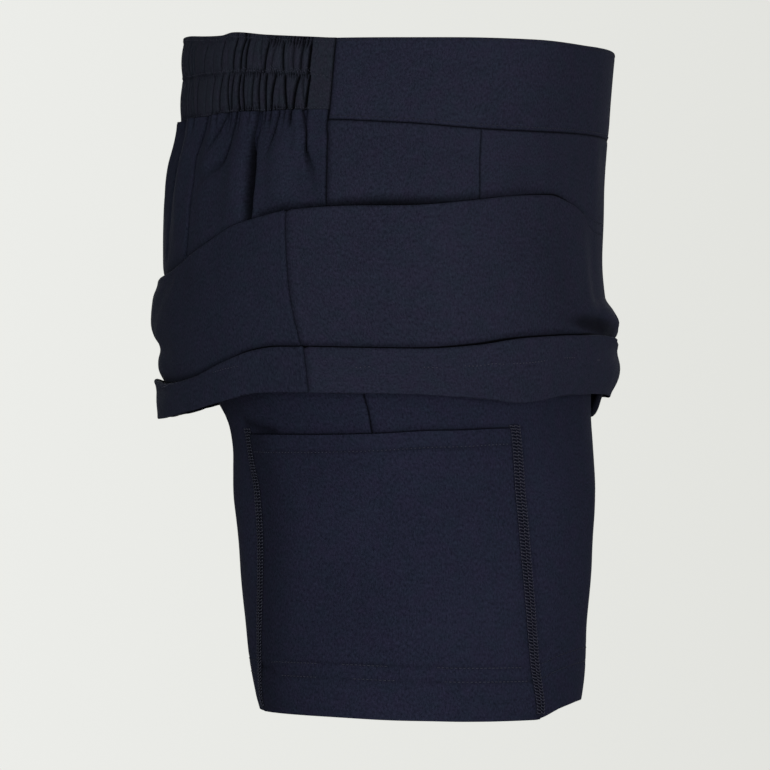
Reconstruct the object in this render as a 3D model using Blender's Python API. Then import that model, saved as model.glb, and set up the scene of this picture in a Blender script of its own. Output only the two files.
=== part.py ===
"""A pull-on skort: shorts with thigh pockets under a skirt that is folded up round the hips.

The garment is filled out and hollow. Its frame has +Z up and the wearer facing -Y, so the
wearer's right is -X. The origin is the middle of the waist opening, halfway up the waistband.
Places round the body are angles: 0 at centre back, 90 at the wearer's right, 180 at centre
front, 270 at the wearer's left. All sizes below are in millimetres and degrees.
"""
import math
from collections import namedtuple

import bmesh
import bpy
from mathutils import Vector

MM = 0.001

# ---- driving sizes -------------------------------------------------------------------------
CLOTH = 1.1               # one layer of the double knit
SEAM_GAP = 0.3            # between pieces that are sewn together
BAND_THICK = 2.4          # faced waistband, front
CASING_THICK = 2.2        # elastic casing at its stitch rows, back
CASING_INSET = 0.6        # how far those rows' middle lies inside the hip sections
ROUNDNESS = 2.25          # exponent of the superellipse that each section follows
FOLD_RADIUS = 1.35        # half the distance between two layers of the folded skirt

SIDE_SEAM_BAND = 75.75    # angle of the waistband's side seam
SIDE_SEAM_FOLD = 68.2     # angle of the skirt's side seam where the skirt folds over
SIDE_SEAM_LEG = 78.4      # angle of the shorts' side seam round the leg
GATHER_END = 68.5         # angle where the gathered casing turns plain
GATHERS = 60              # gathers in each of the two elastic channels
GATHER_DEPTH = 1.6        # from a gather's valley to its ridge
GATHER_UNEVEN = 0.2       # share by which one gather differs from the next
CHANNEL_PUFF = 1.2        # how far a channel swells between its stitch rows
PLAIN_SWELL = 0.15        # share of that swell past the last gather

# ---- sections ------------------------------------------------------------------------------
# Hip sections of the skirt's first layer: height, half width, reach to the front and back.
Hip = namedtuple("Hip", "z half_width front back")
HIPS = [
    Hip(25, 147, 119, 117.2), Hip(0, 149, 117, 117.6), Hip(-23, 151.5, 115.5, 118.3),
    Hip(-35, 154, 114.2, 120.8), Hip(-50, 158, 112.8, 124.6), Hip(-70, 163.5, 112, 127.6),
    Hip(-100, 170, 111.5, 128.6), Hip(-125, 173, 111, 128), Hip(-160, 174, 108.5, 124.5),
    Hip(-190, 173, 107.5, 122)]

# Shorts sections: height, reach to the outside, past the centre plane, to front and back, and
# the exponent of their curve.
Leg = namedtuple("Leg", "z outer inner front back roundness")
LEGS = [
    Leg(-20, 149.2, 149.2, 112.7, 116.4, 2.25), Leg(-35, 152, 152, 111.5, 118.6, 2.25),
    Leg(-60, 156.6, 155, 109.4, 122.4, 2.25), Leg(-100, 163, 146, 107.4, 123.6, 2.25),
    Leg(-140, 165.8, 118, 105.2, 116, 2.2), Leg(-170, 166.8, 84, 103.8, 101.5, 2.12),
    Leg(-185, 166.8, 62, 103.4, 93, 2.08), Leg(-200, 166.4, 40, 103.9, 89.2, 2.05),
    Leg(-214, 165.8, 18, 104.3, 88.2, 2.02), Leg(-222, 165.4, 6, 104.4, 87.8, 2),
    Leg(-228, 165.2, -1.0, 104.3, 87.4, 2), Leg(-240, 164.8, -4, 104, 86.2, 2),
    Leg(-275, 163.8, -8, 101.9, 83.3, 2), Leg(-312, 162.5, -10.5, 98.9, 79.7, 2),
    Leg(-333, 161.5, -12, 97.4, 76, 2), Leg(-343, 161, -13, 96, 73.5, 2)]

# Waistband heights round the body.
Band = namedtuple("Band", "around top stitch bottom")
BAND_BACK = [
    Band(0, 21.6, -1.2, -24.9), Band(15, 20.4, -1.8, -25), Band(30, 18.2, -2.1, -24.5),
    Band(38, 17.6, -2.1, -24), Band(43, 18.7, -2.2, -23.2), Band(56, 16.2, -3.4, -23.6),
    Band(69, 14.3, -5.2, -23.4), Band(76, 13.5, -6.6, -23.6)]
BAND_FRONT = [
    Band(75, 13.4, -8, -29), Band(91, 13.4, -9, -30.7), Band(109, 13.7, -10, -33.5),
    Band(125, 13.7, -10, -34.2), Band(148, 12.6, -10, -34), Band(180, 12.9, -10, -34.4)]

# The lifted skirt round the body. The first layer runs down to a hidden turn, the cloth
# comes back up to the lifted fold, falls as the second layer to the tuck's hidden turn,
# rises to the tuck and falls as the hem strip. "open" is 0 where the lifted fold is
# pressed flat and 1 where it has died out. "belly" swells the second layer, "lean" moves
# its lower end out, "kick" moves the hem out and "strip" swells the hem strip.
Lift = namedtuple("Lift", "around turn fold tuck_turn tuck hem open belly lean kick strip")
LIFTS = [
    Lift(0, -174, -111, -174, -163, -186, 0, 3.4, 1.0, 0.2, 0.8),
    Lift(23, -171, -107.2, -176, -165.2, -185, 0, 3.2, 0.8, 0.2, 0.8),
    Lift(39, -164, -96.7, -171, -162.5, -181, 0, 2.6, 0.4, 0.0, 0.4),
    Lift(52, -156, -84.6, -164, -154.8, -175.8, 0, 2.0, 0.0, 0.0, 0.0),
    Lift(60, -152, -80, -159, -149.8, -172.4, 0, 1.6, 0.0, 0.0, 0.0),
    Lift(68, -150, -76.6, -157, -147.2, -172, 0, 1.2, 0.0, 0.0, 0.0),
    Lift(80, -148, -74.2, -158, -147.2, -172.3, 0, 1.2, 0.0, 0.0, 0.2),
    Lift(97, -145, -73.3, -159, -147.7, -173.1, 0, 1.6, 0.2, 0.2, 0.6),
    Lift(110, -141, -70.6, -158, -145.6, -176.2, 0, 2.0, 0.4, 0.6, 1.0),
    Lift(120, -137, -67.6, -156, -141.9, -177.4, 0, 2.2, 0.6, 0.8, 1.2),
    Lift(134, -118, -66.4, -155, -139.9, -174.2, 0, 2.0, 1.0, 0.0, 1.4),
    Lift(143, -94, -71.2, -157, -139.7, -172.4, 0, 1.8, 1.6, -1.4, 1.6),
    Lift(147, -78.4, -74.4, -162, -140.4, -172.3, 0, 1.0, 2.2, -2.6, 1.8),
    Lift(159, -87.2, -83.2, -176, -142.2, -172.6, 1, 0.0, 2.2, -3.8, 2.0),
    Lift(168, -88, -84, -186, -144.8, -173.6, 1, 0.0, 1.6, -4.6, 2.0),
    Lift(180, -88, -84, -184, -145.4, -174.4, 1, 0.0, 1.6, -4.6, 2.0)]
FAR_SIDE_DROP = 3.0       # the unseen side is folded about this much lower

# How far the skirt's side seam swings from its place at the fold, at each stage of the path.
Swing = namedtuple("Swing", "stage degrees")
SWINGS = [
    Swing(0, 7.2), Swing(0.07, 7.2), Swing(0.23, 9.5), Swing(0.4, 10.3), Swing(1, 7.5),
    Swing(2, 0), Swing(3, 4.3), Swing(4, 5.2), Swing(5, 5.9)]
SWING_END = 144           # from this angle to centre front nothing swings

# Soft folds that fall from the gathered back: angle, height out, half width, lower end.
FLUTE_TOP = -24
Flute = namedtuple("Flute", "around height width end")
FLUTES = [
    Flute(4, 2.6, 3.0, -84), Flute(11.5, 3.8, 3.4, -108), Flute(24.5, 4.0, 4.2, -116),
    Flute(38, 2.6, 3.4, -116), Flute(50.6, 3.6, 3.4, -112), Flute(63.5, 2.6, 4.2, -90)]

# Thigh pocket: its top edge and its two seams round the leg.
PocketEdge = namedtuple("PocketEdge", "z back front")
POCKET_EDGES = [
    PocketEdge(-185, 28.6, 122.7), PocketEdge(-200, 28.3, 123), PocketEdge(-226, 31.5, 124.5),
    PocketEdge(-260, 30.2, 127.2), PocketEdge(-313, 23, 133.6), PocketEdge(-343, 17, 139)]
POCKET_TOP = -193.0
LEG_HEM = -341.6

# How far a level row of the leg is raised round the leg, at the pocket's top and at the hem.
Tilt = namedtuple("Tilt", "around pocket hem")
TILTS = [
    Tilt(-90, 0, 3), Tilt(-20, 0, 2), Tilt(20, -0.7, 1.8), Tilt(56, 0, 0.8), Tilt(80, 0.2, -0.6),
    Tilt(94, 2.0, -0.6), Tilt(104, 2.5, -1.0), Tilt(119, 3.4, -1.2), Tilt(134, 2, -1.2),
    Tilt(150, 0, 3.6), Tilt(167, 0, 6.1), Tilt(190, 0, 5.6), Tilt(270, 0, 3)]

POCKET_TILT_REACH = 40    # the pocket's tilt dies out over this height

LEG_ROWS = [-50, -75, -100, -125, -150, -172, POCKET_TOP, -204, -214, -222, -228, -246, -278,
            -312, LEG_HEM]
FIRST_LEG_ROW = -30       # the level whose columns the shorts' top edge has
CROTCH_ROW = -228         # from this row down each leg is a closed ring
SEAM_MOVES = (-50, -120)  # the shorts' side seam moves forward between these heights

NAVY = (0.0160, 0.0168, 0.0290, 1.0)
NAVY_DARK = (0.0118, 0.0128, 0.0210, 1.0)


# ---- reading the tables and small sums ---------------------------------------------------------
def read(table, key):
    """Every column of the table at a key between its rows, on a smooth curve through them."""
    rows = sorted(table)
    if key <= rows[0][0]:
        return rows[0]
    if key >= rows[-1][0]:
        return rows[-1]
    i = max(n for n in range(len(rows) - 1) if rows[n][0] <= key)
    before, low, high, after = rows[max(i - 1, 0)], rows[i], rows[i + 1], rows[min(i + 2, len(rows) - 1)]
    step = high[0] - low[0]
    t = (key - low[0]) / step
    values = []
    for a, b, c, d in zip(before[1:], low[1:], high[1:], after[1:]):
        slope_in = (c - a) / (high[0] - before[0]) * step
        slope_out = (d - b) / (after[0] - low[0]) * step
        if (c - b) * (b - a) <= 0:
            slope_in = 0.0
        if (c - b) * (d - c) <= 0:
            slope_out = 0.0
        values.append((2 * t**3 - 3 * t**2 + 1) * b + (t**3 - 2 * t**2 + t) * slope_in
                      + (3 * t**2 - 2 * t**3) * c + (t**3 - t**2) * slope_out)
    return type(low)(key, *values)


def mix(a, b, t):
    return a + (b - a) * t


def ease(t):
    """0 to 1 with level ends."""
    t = min(max(t, 0.0), 1.0)
    return t * t * (3 - 2 * t)


def half_turn(around):
    """The same place on the wearer's right half, 0 to 180."""
    around = around % 360
    return around if around <= 180 else 360 - around


def half_gap(radius):
    """Half a seam gap as an angle, at that distance from the middle."""
    return math.degrees(SEAM_GAP / 2 / radius)


# ---- sections as points ----------------------------------------------------------------------
def on_oval(around, middle, half_width, depth, out, roundness=ROUNDNESS):
    """A point on a superellipse, moved out along its normal by `out`."""
    s, c = math.sin(math.radians(around)), math.cos(math.radians(around))
    power = 2 / roundness
    x = -half_width * math.copysign(abs(s) ** power, s)
    y = depth * math.copysign(abs(c) ** power, c)
    normal = Vector((math.copysign(abs(x / half_width) ** (roundness - 1), x) / half_width,
                     math.copysign(abs(y / depth) ** (roundness - 1), y) / depth)).normalized()
    return middle[0] + x + out * normal.x, middle[1] + y + out * normal.y


def hip_point(around, z, out):
    hip = read(HIPS, z)
    middle = (0, (hip.back - hip.front) / 2)
    x, y = on_oval(around, middle, hip.half_width, (hip.back + hip.front) / 2, out)
    return Vector((x, y, z))


def leg_point(around, z, out):
    """A point of the wearer's right leg; the centre plane may cut the section."""
    leg = read(LEGS, z)
    half_width = (leg.outer + leg.inner) / 2
    middle = (-(leg.outer - leg.inner) / 2, (leg.back - leg.front) / 2)
    depth = (leg.back + leg.front) / 2
    x, y = on_oval(around, middle, half_width, depth, out, leg.roundness)
    return Vector((x, y, z))


# ---- solids ----------------------------------------------------------------------------------
LEANING = 0.98            # a patch leans once one diagonal is this share of the other
SHARP_ANGLE = 24          # edges that turn more than this are shaded sharp


def cloth_material(name, colour):
    material = bpy.data.materials.new(name)
    material.use_nodes = True
    shader = material.node_tree.nodes["Principled BSDF"]
    shader.inputs["Base Color"].default_value = colour
    shader.inputs["Roughness"].default_value = 0.85
    shader.inputs["Metallic"].default_value = 0.0
    return material


def add_two_triangles(bm, a, b, c, d):
    """Fill a four-cornered patch across its shorter diagonal."""
    if (b.co - d.co).length < LEANING * (a.co - c.co).length:
        bm.faces.new((a, b, d))
        bm.faces.new((b, c, d))
    else:
        bm.faces.new((a, b, c))
        bm.faces.new((a, c, d))


def add_wall(name, outside, inside, material):
    """One closed wall between two grids of points, each a list of rows from top to bottom."""
    bm = bmesh.new()
    grids = [[[bm.verts.new(point * MM) for point in row] for row in grid]
             for grid in (outside, inside)]
    for grid in grids:
        for upper, lower in zip(grid, grid[1:]):
            for i in range(len(upper) - 1):
                add_two_triangles(bm, upper[i], upper[i + 1], lower[i + 1], lower[i])
    out, inn = grids
    for edge_out, edge_in in ((out[0], inn[0]), (out[-1], inn[-1])):
        for i in range(len(edge_out) - 1):
            bm.faces.new((edge_out[i], edge_out[i + 1], edge_in[i + 1], edge_in[i]))
    for end in (0, -1):
        if len(out) == len(inn):
            for k in range(len(out) - 1):
                bm.faces.new((out[k][end], out[k + 1][end], inn[k + 1][end], inn[k][end]))
        else:
            bm.faces.new([row[end] for row in out] + [row[end] for row in reversed(inn)])
    bmesh.ops.recalc_face_normals(bm, faces=bm.faces)
    mesh = bpy.data.meshes.new(name)
    bm.to_mesh(mesh)
    bm.free()
    mesh.shade_smooth()
    mesh.set_sharp_from_angle(angle=math.radians(SHARP_ANGLE))
    mesh.materials.append(material)
    piece = bpy.data.objects.new(name, mesh)
    bpy.context.collection.objects.link(piece)
    return piece


def mirrored(grid):
    return [[Vector((-p.x, p.y, p.z)) for p in row] for row in grid]


# ---- waistband -------------------------------------------------------------------------------
WAIST_RADIUS = 110
BAND_ROWS = (0, 0.3, 0.6, 0.86, 1)        # places down the front waistband
BAND_COLUMNS = 32


def add_waistband_front(material):
    start = SIDE_SEAM_BAND + half_gap(WAIST_RADIUS)
    end = 360 - start
    outside, inside = [], []
    for place in BAND_ROWS:
        outer_row, inner_row = [], []
        for i in range(BAND_COLUMNS + 1):
            around = mix(start, end, i / BAND_COLUMNS)
            band = read(BAND_FRONT, half_turn(around))
            z = mix(band.top, band.bottom, place)
            outer_row.append(hip_point(around, z, CLOTH / 2))
            inner_row.append(hip_point(around, z, CLOTH / 2 - BAND_THICK))
        outside.append(outer_row)
        inside.append(inner_row)
    add_wall("waistband_front", outside, inside, material)


# Rows of the casing: place between top edge (0), middle stitch row (1) and lower one (2),
# share of the channel's swell and share of the gathers' depth.
CasingRow = namedtuple("CasingRow", "place swell ripple")
CASING_ROWS = [
    CasingRow(0, 0.15, 0.5), CasingRow(0.22, 0.9, 1), CasingRow(0.72, 0.9, 1),
    CasingRow(1, 0, 0.25), CasingRow(1.26, 0.9, 1), CasingRow(1.74, 0.9, 1),
    CasingRow(2, 0, 0.3)]


def casing_height(around, place):
    band = read(BAND_BACK, half_turn(around))
    if place <= 1:
        return mix(band.top, band.stitch, place)
    return mix(band.stitch, band.bottom, place - 1)


def even_places(end, count):
    """Angles from -end to end that part the waist into stretches of one length."""
    fine = [mix(-end, end, k / (4 * count)) for k in range(4 * count + 1)]
    run = [0.0]
    for a, b in zip(fine, fine[1:]):
        run.append(run[-1] + (hip_point(b, 0, 0) - hip_point(a, 0, 0)).length)
    places, k = [], 0
    for i in range(count + 1):
        target = run[-1] * i / count
        while k < len(run) - 2 and run[k + 1] < target:
            k += 1
        places.append(mix(fine[k], fine[k + 1], (target - run[k]) / (run[k + 1] - run[k])))
    return places


def gather_columns():
    """Places and depths of the gathers' valleys and ridges, uneven from one to the next."""
    columns = []
    for k, place in enumerate(even_places(GATHER_END, 2 * GATHERS)):
        side = 0.5 if k % 2 else -0.5
        size = 1 - GATHER_UNEVEN * (1 - math.sin(2.4 * k + 1.3))
        columns.append((place, side * size))
    return columns


def add_waistband_back(material):
    plain = SIDE_SEAM_BAND - half_gap(WAIST_RADIUS)
    halfway = (plain + GATHER_END) / 2
    columns = [(-plain, 0.0), (-halfway, 0.0)] + gather_columns() + [(halfway, 0.0), (plain, 0.0)]
    outside = []
    for row in CASING_ROWS:
        points = []
        for around, depth in columns:
            swell = row.swell * CHANNEL_PUFF * (1 if depth else PLAIN_SWELL)
            out = CASING_THICK / 2 - CASING_INSET + swell + row.ripple * GATHER_DEPTH * depth
            points.append(hip_point(around, casing_height(around, row.place), out))
        outside.append(points)
    inside = [[hip_point(around, casing_height(around, place), -CASING_THICK / 2 - CASING_INSET)
               for around, depth in columns] for place in (0, 2)]
    add_wall("waistband_back", outside, inside, material)


# ---- skirt -----------------------------------------------------------------------------------
# Segments of the skirt's path from the waist seam to the hem, by stage: first layer, way up,
# second layer, tuck, hem strip. Each turn between two of them is a half circle.
STAGE_SEGMENTS = (4, 2, 3, 1, 2)
TURN_SEGMENTS = 3
FIRST_ROW = -37           # the first layer's second row of points
SWING_TOP = -31           # the side seam starts to swing at this height
SHORTEST_RISE = 0.4       # way up between the lifted fold's turns where it dies
FLUTES_FADE = 0.6         # stage from which the soft folds fade towards the hidden turn
HIP_RADIUS = 165


def turn_points(start_out, z, rising, stage):
    """A half circle from one layer to the next one out; z is its lowest or highest point."""
    r = FOLD_RADIUS
    points = []
    for k in range(1, TURN_SEGMENTS):
        angle = math.pi * k / TURN_SEGMENTS
        lift = -math.sin(angle) if rising else math.sin(angle)
        centre = z + r if rising else z - r
        points.append((start_out + r * (1 - math.cos(angle)), centre + r * lift, stage))
    return points


def run_points(start, end, count, stage, belly=0.0):
    """Points along one layer, both ends included; belly swells it outwards."""
    points = []
    for k in range(count + 1):
        t = k / count
        out = mix(start[0], end[0], ease(t)) + belly * math.sin(math.pi * t) ** 2
        points.append((out, mix(start[1], end[1], t), stage + t))
    return points


def lifted_fold(turn, fold, flatness):
    """The lifted fold's hidden turn, way up and visible turn, opening out as it dies."""
    bend = math.pi * (1 - flatness)
    step = math.pi / TURN_SEGMENTS * (1 - flatness) / 2
    chord = math.pi * FOLD_RADIUS / TURN_SEGMENTS * (math.sin(step) / step if step else 1)
    up = STAGE_SEGMENTS[1]
    rise = max(fold - turn - 2 * FOLD_RADIUS, SHORTEST_RISE)
    moves = [(chord, bend * (k + 0.5) / TURN_SEGMENTS, 1) for k in range(TURN_SEGMENTS)]
    moves += [(rise / up, bend, 1 + (k + 1) / up) for k in range(up)]
    moves += [(chord, bend * (1 - (k + 0.5) / TURN_SEGMENTS), 2) for k in range(TURN_SEGMENTS)]
    points = [(0.0, 0.0, 1)]
    for length, heading, stage in moves:
        out, z = points[-1][:2]
        points.append((out + length * math.sin(heading), z - length * math.cos(heading), stage))
    raise_by = (turn + fold) / 2 - points[-1][1] / 2
    return [(out, z + raise_by, stage) for out, z, stage in points]


def swung(around, stage):
    """Where a point lies round the body; `around` is its place along the lifted fold."""
    side = half_turn(around)
    share = math.sin(math.pi * side / SWING_END) if side < SWING_END else 0
    return around + read(SWINGS, stage).degrees * math.copysign(share, math.sin(math.radians(around)))


def first_layer(top, turn):
    """Points down the first layer, at the same heights on both sides of the side seam."""
    count = STAGE_SEGMENTS[0]
    heights = [top] + [mix(FIRST_ROW, turn, k / (count - 1)) for k in range(count)]
    return [(0, z, min(max((SWING_TOP - z) / (SWING_TOP - turn), 0), 1)) for z in heights]


def skirt_path(around, top):
    """Distances out of the hip section, heights and stages from the waist seam to the hem."""
    at_fold = read(LIFTS, half_turn(around))
    at_tuck = read(LIFTS, half_turn(swung(around, 4)))
    at_hem = read(LIFTS, half_turn(swung(around, 5)))
    drop = FAR_SIDE_DROP * ease((math.sin(math.radians(-around)) + 0.2) / 1.2)
    turn, fold, tuck_turn = at_fold.turn - drop, at_fold.fold - drop, at_tuck.tuck_turn - drop
    tuck, hem = at_tuck.tuck - drop, at_hem.hem - drop
    r = FOLD_RADIUS
    bends = lifted_fold(turn, fold, at_fold.open)
    low = 4 * r + at_fold.lean
    first, up, second, tucked, strip = STAGE_SEGMENTS
    path = (first_layer(top, bends[0][1])
            + bends[1:]
            + run_points(bends[-1][:2], (low, tuck_turn + r), second, 2, at_fold.belly)[1:]
            + turn_points(low, tuck_turn, True, 3)
            + run_points((low + 2 * r, tuck_turn + r), (low + 2 * r, tuck - r), tucked, 3)
            + turn_points(low + 2 * r, tuck, False, 4)
            + run_points((low + 4 * r, tuck - r), (low + 4 * r, hem), strip, 4, at_fold.strip))
    return [(out + at_fold.kick * ease((tuck - z) / (tuck - hem)) * ease(stage - 2), z, stage)
            for out, z, stage in path]


def flute_height(around, z):
    """How far the soft folds below the gathers stand out."""
    height = 0.0
    for flute in FLUTES:
        along = ease((z - flute.end) / (FLUTE_TOP - flute.end))
        offset = (half_turn(around) - flute.around) / flute.width
        height += flute.height * along * math.exp(-offset * offset)
    return height


def wall_sides(path, thickness):
    """The path moved out and in by half the wall, square to the path."""
    sides = ([], [])
    for k, (out, z, stage) in enumerate(path):
        before, after = path[max(k - 1, 0)], path[min(k + 1, len(path) - 1)]
        run = Vector((after[0] - before[0], after[1] - before[1])).normalized()
        for side, sign in zip(sides, (1, -1)):
            side.append((out - sign * run.y * thickness / 2, z + sign * run.x * thickness / 2, stage))
    return sides


def skirt_column(around, top):
    """The two sides of the skirt's wall at one place round the body."""
    sides = []
    for side in wall_sides(skirt_path(around, top), CLOTH):
        points = []
        for out, z, stage in side:
            place = swung(around, stage)
            flute = flute_height(place, z) * ease((1 - stage) / (1 - FLUTES_FADE))
            points.append(hip_point(place, z, out + flute))
        sides.append(points)
    return sides


# Places of the front's columns from its side seam to centre front, closer where the fold dies.
FRONT_RUNS = ((147, 12), (159, 5), (180, 3))
BACK_COLUMNS = 42


def front_columns(start):
    places = [start]
    for end, count in FRONT_RUNS:
        begin = places[-1]
        places += [mix(begin, end, (k + 1) / count) for k in range(count)]
    return places + [360 - around for around in reversed(places[:-1])]


def add_skirt(name, places, top_of, material):
    sides = [skirt_column(around, top_of(swung(around, 0))) for around in places]
    outside = [list(row) for row in zip(*(column[0] for column in sides))]
    inside = [list(row) for row in zip(*(column[1] for column in sides))]
    add_wall(name, outside, inside, material)


def front_top(around):
    return read(BAND_FRONT, half_turn(around)).bottom - SEAM_GAP


def back_top(around):
    return read(BAND_BACK, half_turn(around)).bottom - SEAM_GAP


# ---- shorts ----------------------------------------------------------------------------------
LEG_RADIUS = 85
POCKET_COLUMNS_FRONT, POCKET_COLUMNS_BACK = 6, 5  # columns of a panel that the pocket covers
BEYOND_COLUMNS = 7                                # columns from the pocket's seam to the inside


def leg_row_height(around, z):
    """The height of a level row at one place round the leg."""
    tilt = read(TILTS, around)
    near_pocket = ease(1 - abs(z - POCKET_TOP) / POCKET_TILT_REACH)
    near_hem = ease((z - CROTCH_ROW) / (LEG_HEM - CROTCH_ROW))
    return z + tilt.pocket * near_pocket + tilt.hem * near_hem


def leg_seam(z):
    """Angle of the shorts' side seam: under the waistband's at the top, further forward below."""
    top, bottom = SEAM_MOVES
    return mix(SIDE_SEAM_BAND, SIDE_SEAM_LEG, ease((z - top) / (bottom - top)))


def centre_angle(z, front):
    """Where the outer side of the wall meets the centre plane, less half a seam gap."""
    low, high = (180.0, 270.0) if front else (0.0, -90.0)
    for _ in range(40):
        middle = (low + high) / 2
        if leg_point(middle, z, CLOTH / 2).x < -SEAM_GAP / 2:
            low = middle
        else:
            high = middle
    return low


def leg_grid(front, out):
    """Rows of points on one panel of the right leg, from the back towards the front."""
    sign = 1 if front else -1
    top_of = front_top if front else back_top
    covered = POCKET_COLUMNS_FRONT if front else POCKET_COLUMNS_BACK
    grid = []
    for z in [None] + LEG_ROWS:
        level = FIRST_LEG_ROW if z is None else z
        seam = leg_seam(level) + sign * half_gap(LEG_RADIUS)
        edges = read(POCKET_EDGES, level)
        pocket_seam = edges.front if front else edges.back
        if level <= CROTCH_ROW:
            inner_edge = (270 if front else -90) - sign * half_gap(LEG_RADIUS)
        else:
            inner_edge = centre_angle(level, front)
        row = []
        for i in range(covered + BEYOND_COLUMNS + 1):
            if i <= covered:
                around = mix(seam, pocket_seam, i / covered)
            else:
                around = mix(pocket_seam, inner_edge, (i - covered) / BEYOND_COLUMNS)
            height = top_of(around) if z is None else leg_row_height(around, z)
            point = leg_point(around, height, out)
            if i == covered + BEYOND_COLUMNS and level > POCKET_TOP:
                point.x = -SEAM_GAP / 2
            row.append(point)
        grid.append(row if front else row[::-1])
    return grid


def add_leg_panels(material):
    for panel, front in (("front", True), ("back", False)):
        outside, inside = leg_grid(front, CLOTH / 2), leg_grid(front, -CLOTH / 2)
        add_wall("shorts_right_" + panel, outside, inside, material)
        add_wall("shorts_left_" + panel, mirrored(outside), mirrored(inside), material)


def pocket_grid(out):
    """The leg's own rows and columns under the pocket, moved out."""
    first_row = 1 + LEG_ROWS.index(POCKET_TOP)
    front, back = leg_grid(True, out)[first_row:], leg_grid(False, out)[first_row:]
    return [back_row[-POCKET_COLUMNS_BACK - 1:-1] + front_row[:POCKET_COLUMNS_FRONT + 1]
            for front_row, back_row in zip(front, back)]


def add_pockets(material):
    clear = CLOTH / 2 + SEAM_GAP
    outside, inside = pocket_grid(clear + CLOTH), pocket_grid(clear)
    add_wall("pocket_right", outside, inside, material)
    add_wall("pocket_left", mirrored(outside), mirrored(inside), material)


# ---- the whole garment -----------------------------------------------------------------------
def main():
    for old in list(bpy.data.objects):
        bpy.data.objects.remove(old, do_unlink=True)
    knit = cloth_material("navy_knit", NAVY)
    shaded_knit = cloth_material("navy_knit_shorts", NAVY_DARK)
    add_waistband_front(knit)
    add_waistband_back(knit)
    gap = half_gap(HIP_RADIUS)
    edge = SIDE_SEAM_FOLD - gap
    back_places = [mix(-edge, edge, i / BACK_COLUMNS) for i in range(BACK_COLUMNS + 1)]
    add_skirt("skirt_front", front_columns(SIDE_SEAM_FOLD + gap), front_top, knit)
    add_skirt("skirt_back", back_places, back_top, knit)
    add_leg_panels(shaded_knit)
    add_pockets(shaded_knit)


main()
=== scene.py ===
"""Looks of a dark navy pull-on skort: knit cloth, gathers, soft folds, seams and stitches.

Every piece is a thin closed shell on the form of the solid that it stands for. Places round
the body are angles: 0 at centre back, 90 at the wearer's right, 180 at centre front, 270 at
the wearer's left. Sizes are in millimetres and degrees until a mesh is made.
"""
import math
from collections import namedtuple

import bpy
import numpy as np
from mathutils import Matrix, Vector


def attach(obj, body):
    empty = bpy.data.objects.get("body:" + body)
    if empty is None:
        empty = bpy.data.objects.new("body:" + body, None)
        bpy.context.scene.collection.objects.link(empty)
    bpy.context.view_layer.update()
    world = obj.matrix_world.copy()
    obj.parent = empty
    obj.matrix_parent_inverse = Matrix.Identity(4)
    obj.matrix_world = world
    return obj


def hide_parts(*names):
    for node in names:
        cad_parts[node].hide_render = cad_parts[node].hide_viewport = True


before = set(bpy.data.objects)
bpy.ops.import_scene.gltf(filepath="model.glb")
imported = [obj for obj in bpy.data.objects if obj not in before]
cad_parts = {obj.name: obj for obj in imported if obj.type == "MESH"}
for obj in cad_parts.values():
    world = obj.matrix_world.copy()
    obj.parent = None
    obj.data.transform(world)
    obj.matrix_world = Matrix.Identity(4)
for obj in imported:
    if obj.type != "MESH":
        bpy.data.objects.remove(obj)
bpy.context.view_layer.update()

MM = 0.001
BODY = "root"


def table_of(columns, *rows):
    """Rows with those named columns."""
    kind = namedtuple("Row", columns)
    return [kind(*row) for row in rows]


# ---- sizes that the solids share -------------------------------------------------------------
CLOTH = 1.1               # one layer of the double knit
SEAM_GAP = 0.04           # between pieces that are sewn together
SIDE_GAP = 0.014          # at the band's side seams and the shorts' centre, open to light behind
BAND_THICK = 2.4          # faced waistband, front
CASING_THICK = 2.2        # elastic casing at its stitch rows, back
CASING_INSET = 0.6        # how far those rows' middle lies inside the hip sections
ROUNDNESS = 2.25          # exponent of the superellipse that each section follows
FOLD_RADIUS = 1.35        # half the distance between two layers of the folded skirt

SIDE_SEAM_BAND = 75.75    # angle of the waistband's side seam
SIDE_SEAM_FOLD = 68.2     # angle of the skirt's side seam where the skirt folds over
SIDE_SEAM_LEG = 78.4      # angle of the shorts' side seam round the leg
GATHER_END = 69.9         # angle where the gathered casing turns plain
WAIST_RADIUS, HIP_RADIUS, LEG_RADIUS = 110, 165, 85    # from the middle to the side seams

# Hip sections of the skirt's first layer: height, half width, reach to the front and back.
HIPS = table_of(
    "z half_width front back",
    (25, 147, 119, 117.2), (0, 149, 117, 117.6), (-23, 151.5, 115.5, 118.3),
    (-35, 154, 114.2, 119.8), (-50, 158, 112.8, 124), (-70, 163.5, 112, 127.4),
    (-100, 170, 111.5, 128.6), (-125, 173, 111, 128), (-160, 174, 108.5, 124.5),
    (-190, 173, 107.5, 122))

# Shorts sections: height, reach to the outside, past the centre plane, to front and back, and
# the exponent of their curve.
LEGS = table_of(
    "z outer inner front back roundness",
    (-20, 149.2, 149.2, 112.7, 116.4, 2.25), (-35, 152, 152, 111.5, 118.6, 2.25),
    (-60, 156.6, 155, 109.4, 122.4, 2.25), (-100, 163, 146, 107.4, 123.6, 2.25),
    (-140, 165.8, 118, 105.2, 116, 2.2), (-170, 166.8, 84, 103.8, 101.5, 2.12),
    (-185, 166.8, 62, 103.4, 93, 2.08), (-200, 166.4, 40, 103.9, 89.2, 2.05),
    (-214, 165.8, 18, 104.3, 88.2, 2.02), (-222, 165.4, 6, 104.4, 87.8, 2),
    (-228, 165.2, -1.0, 104.3, 87.4, 2), (-240, 164.8, -4, 104, 86.2, 2),
    (-275, 163.8, -8, 101.9, 83.3, 2), (-312, 162.5, -10.5, 98.9, 79.7, 2),
    (-333, 161.5, -12, 97.4, 76, 2), (-343, 161, -13, 96, 73.5, 2))

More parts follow.
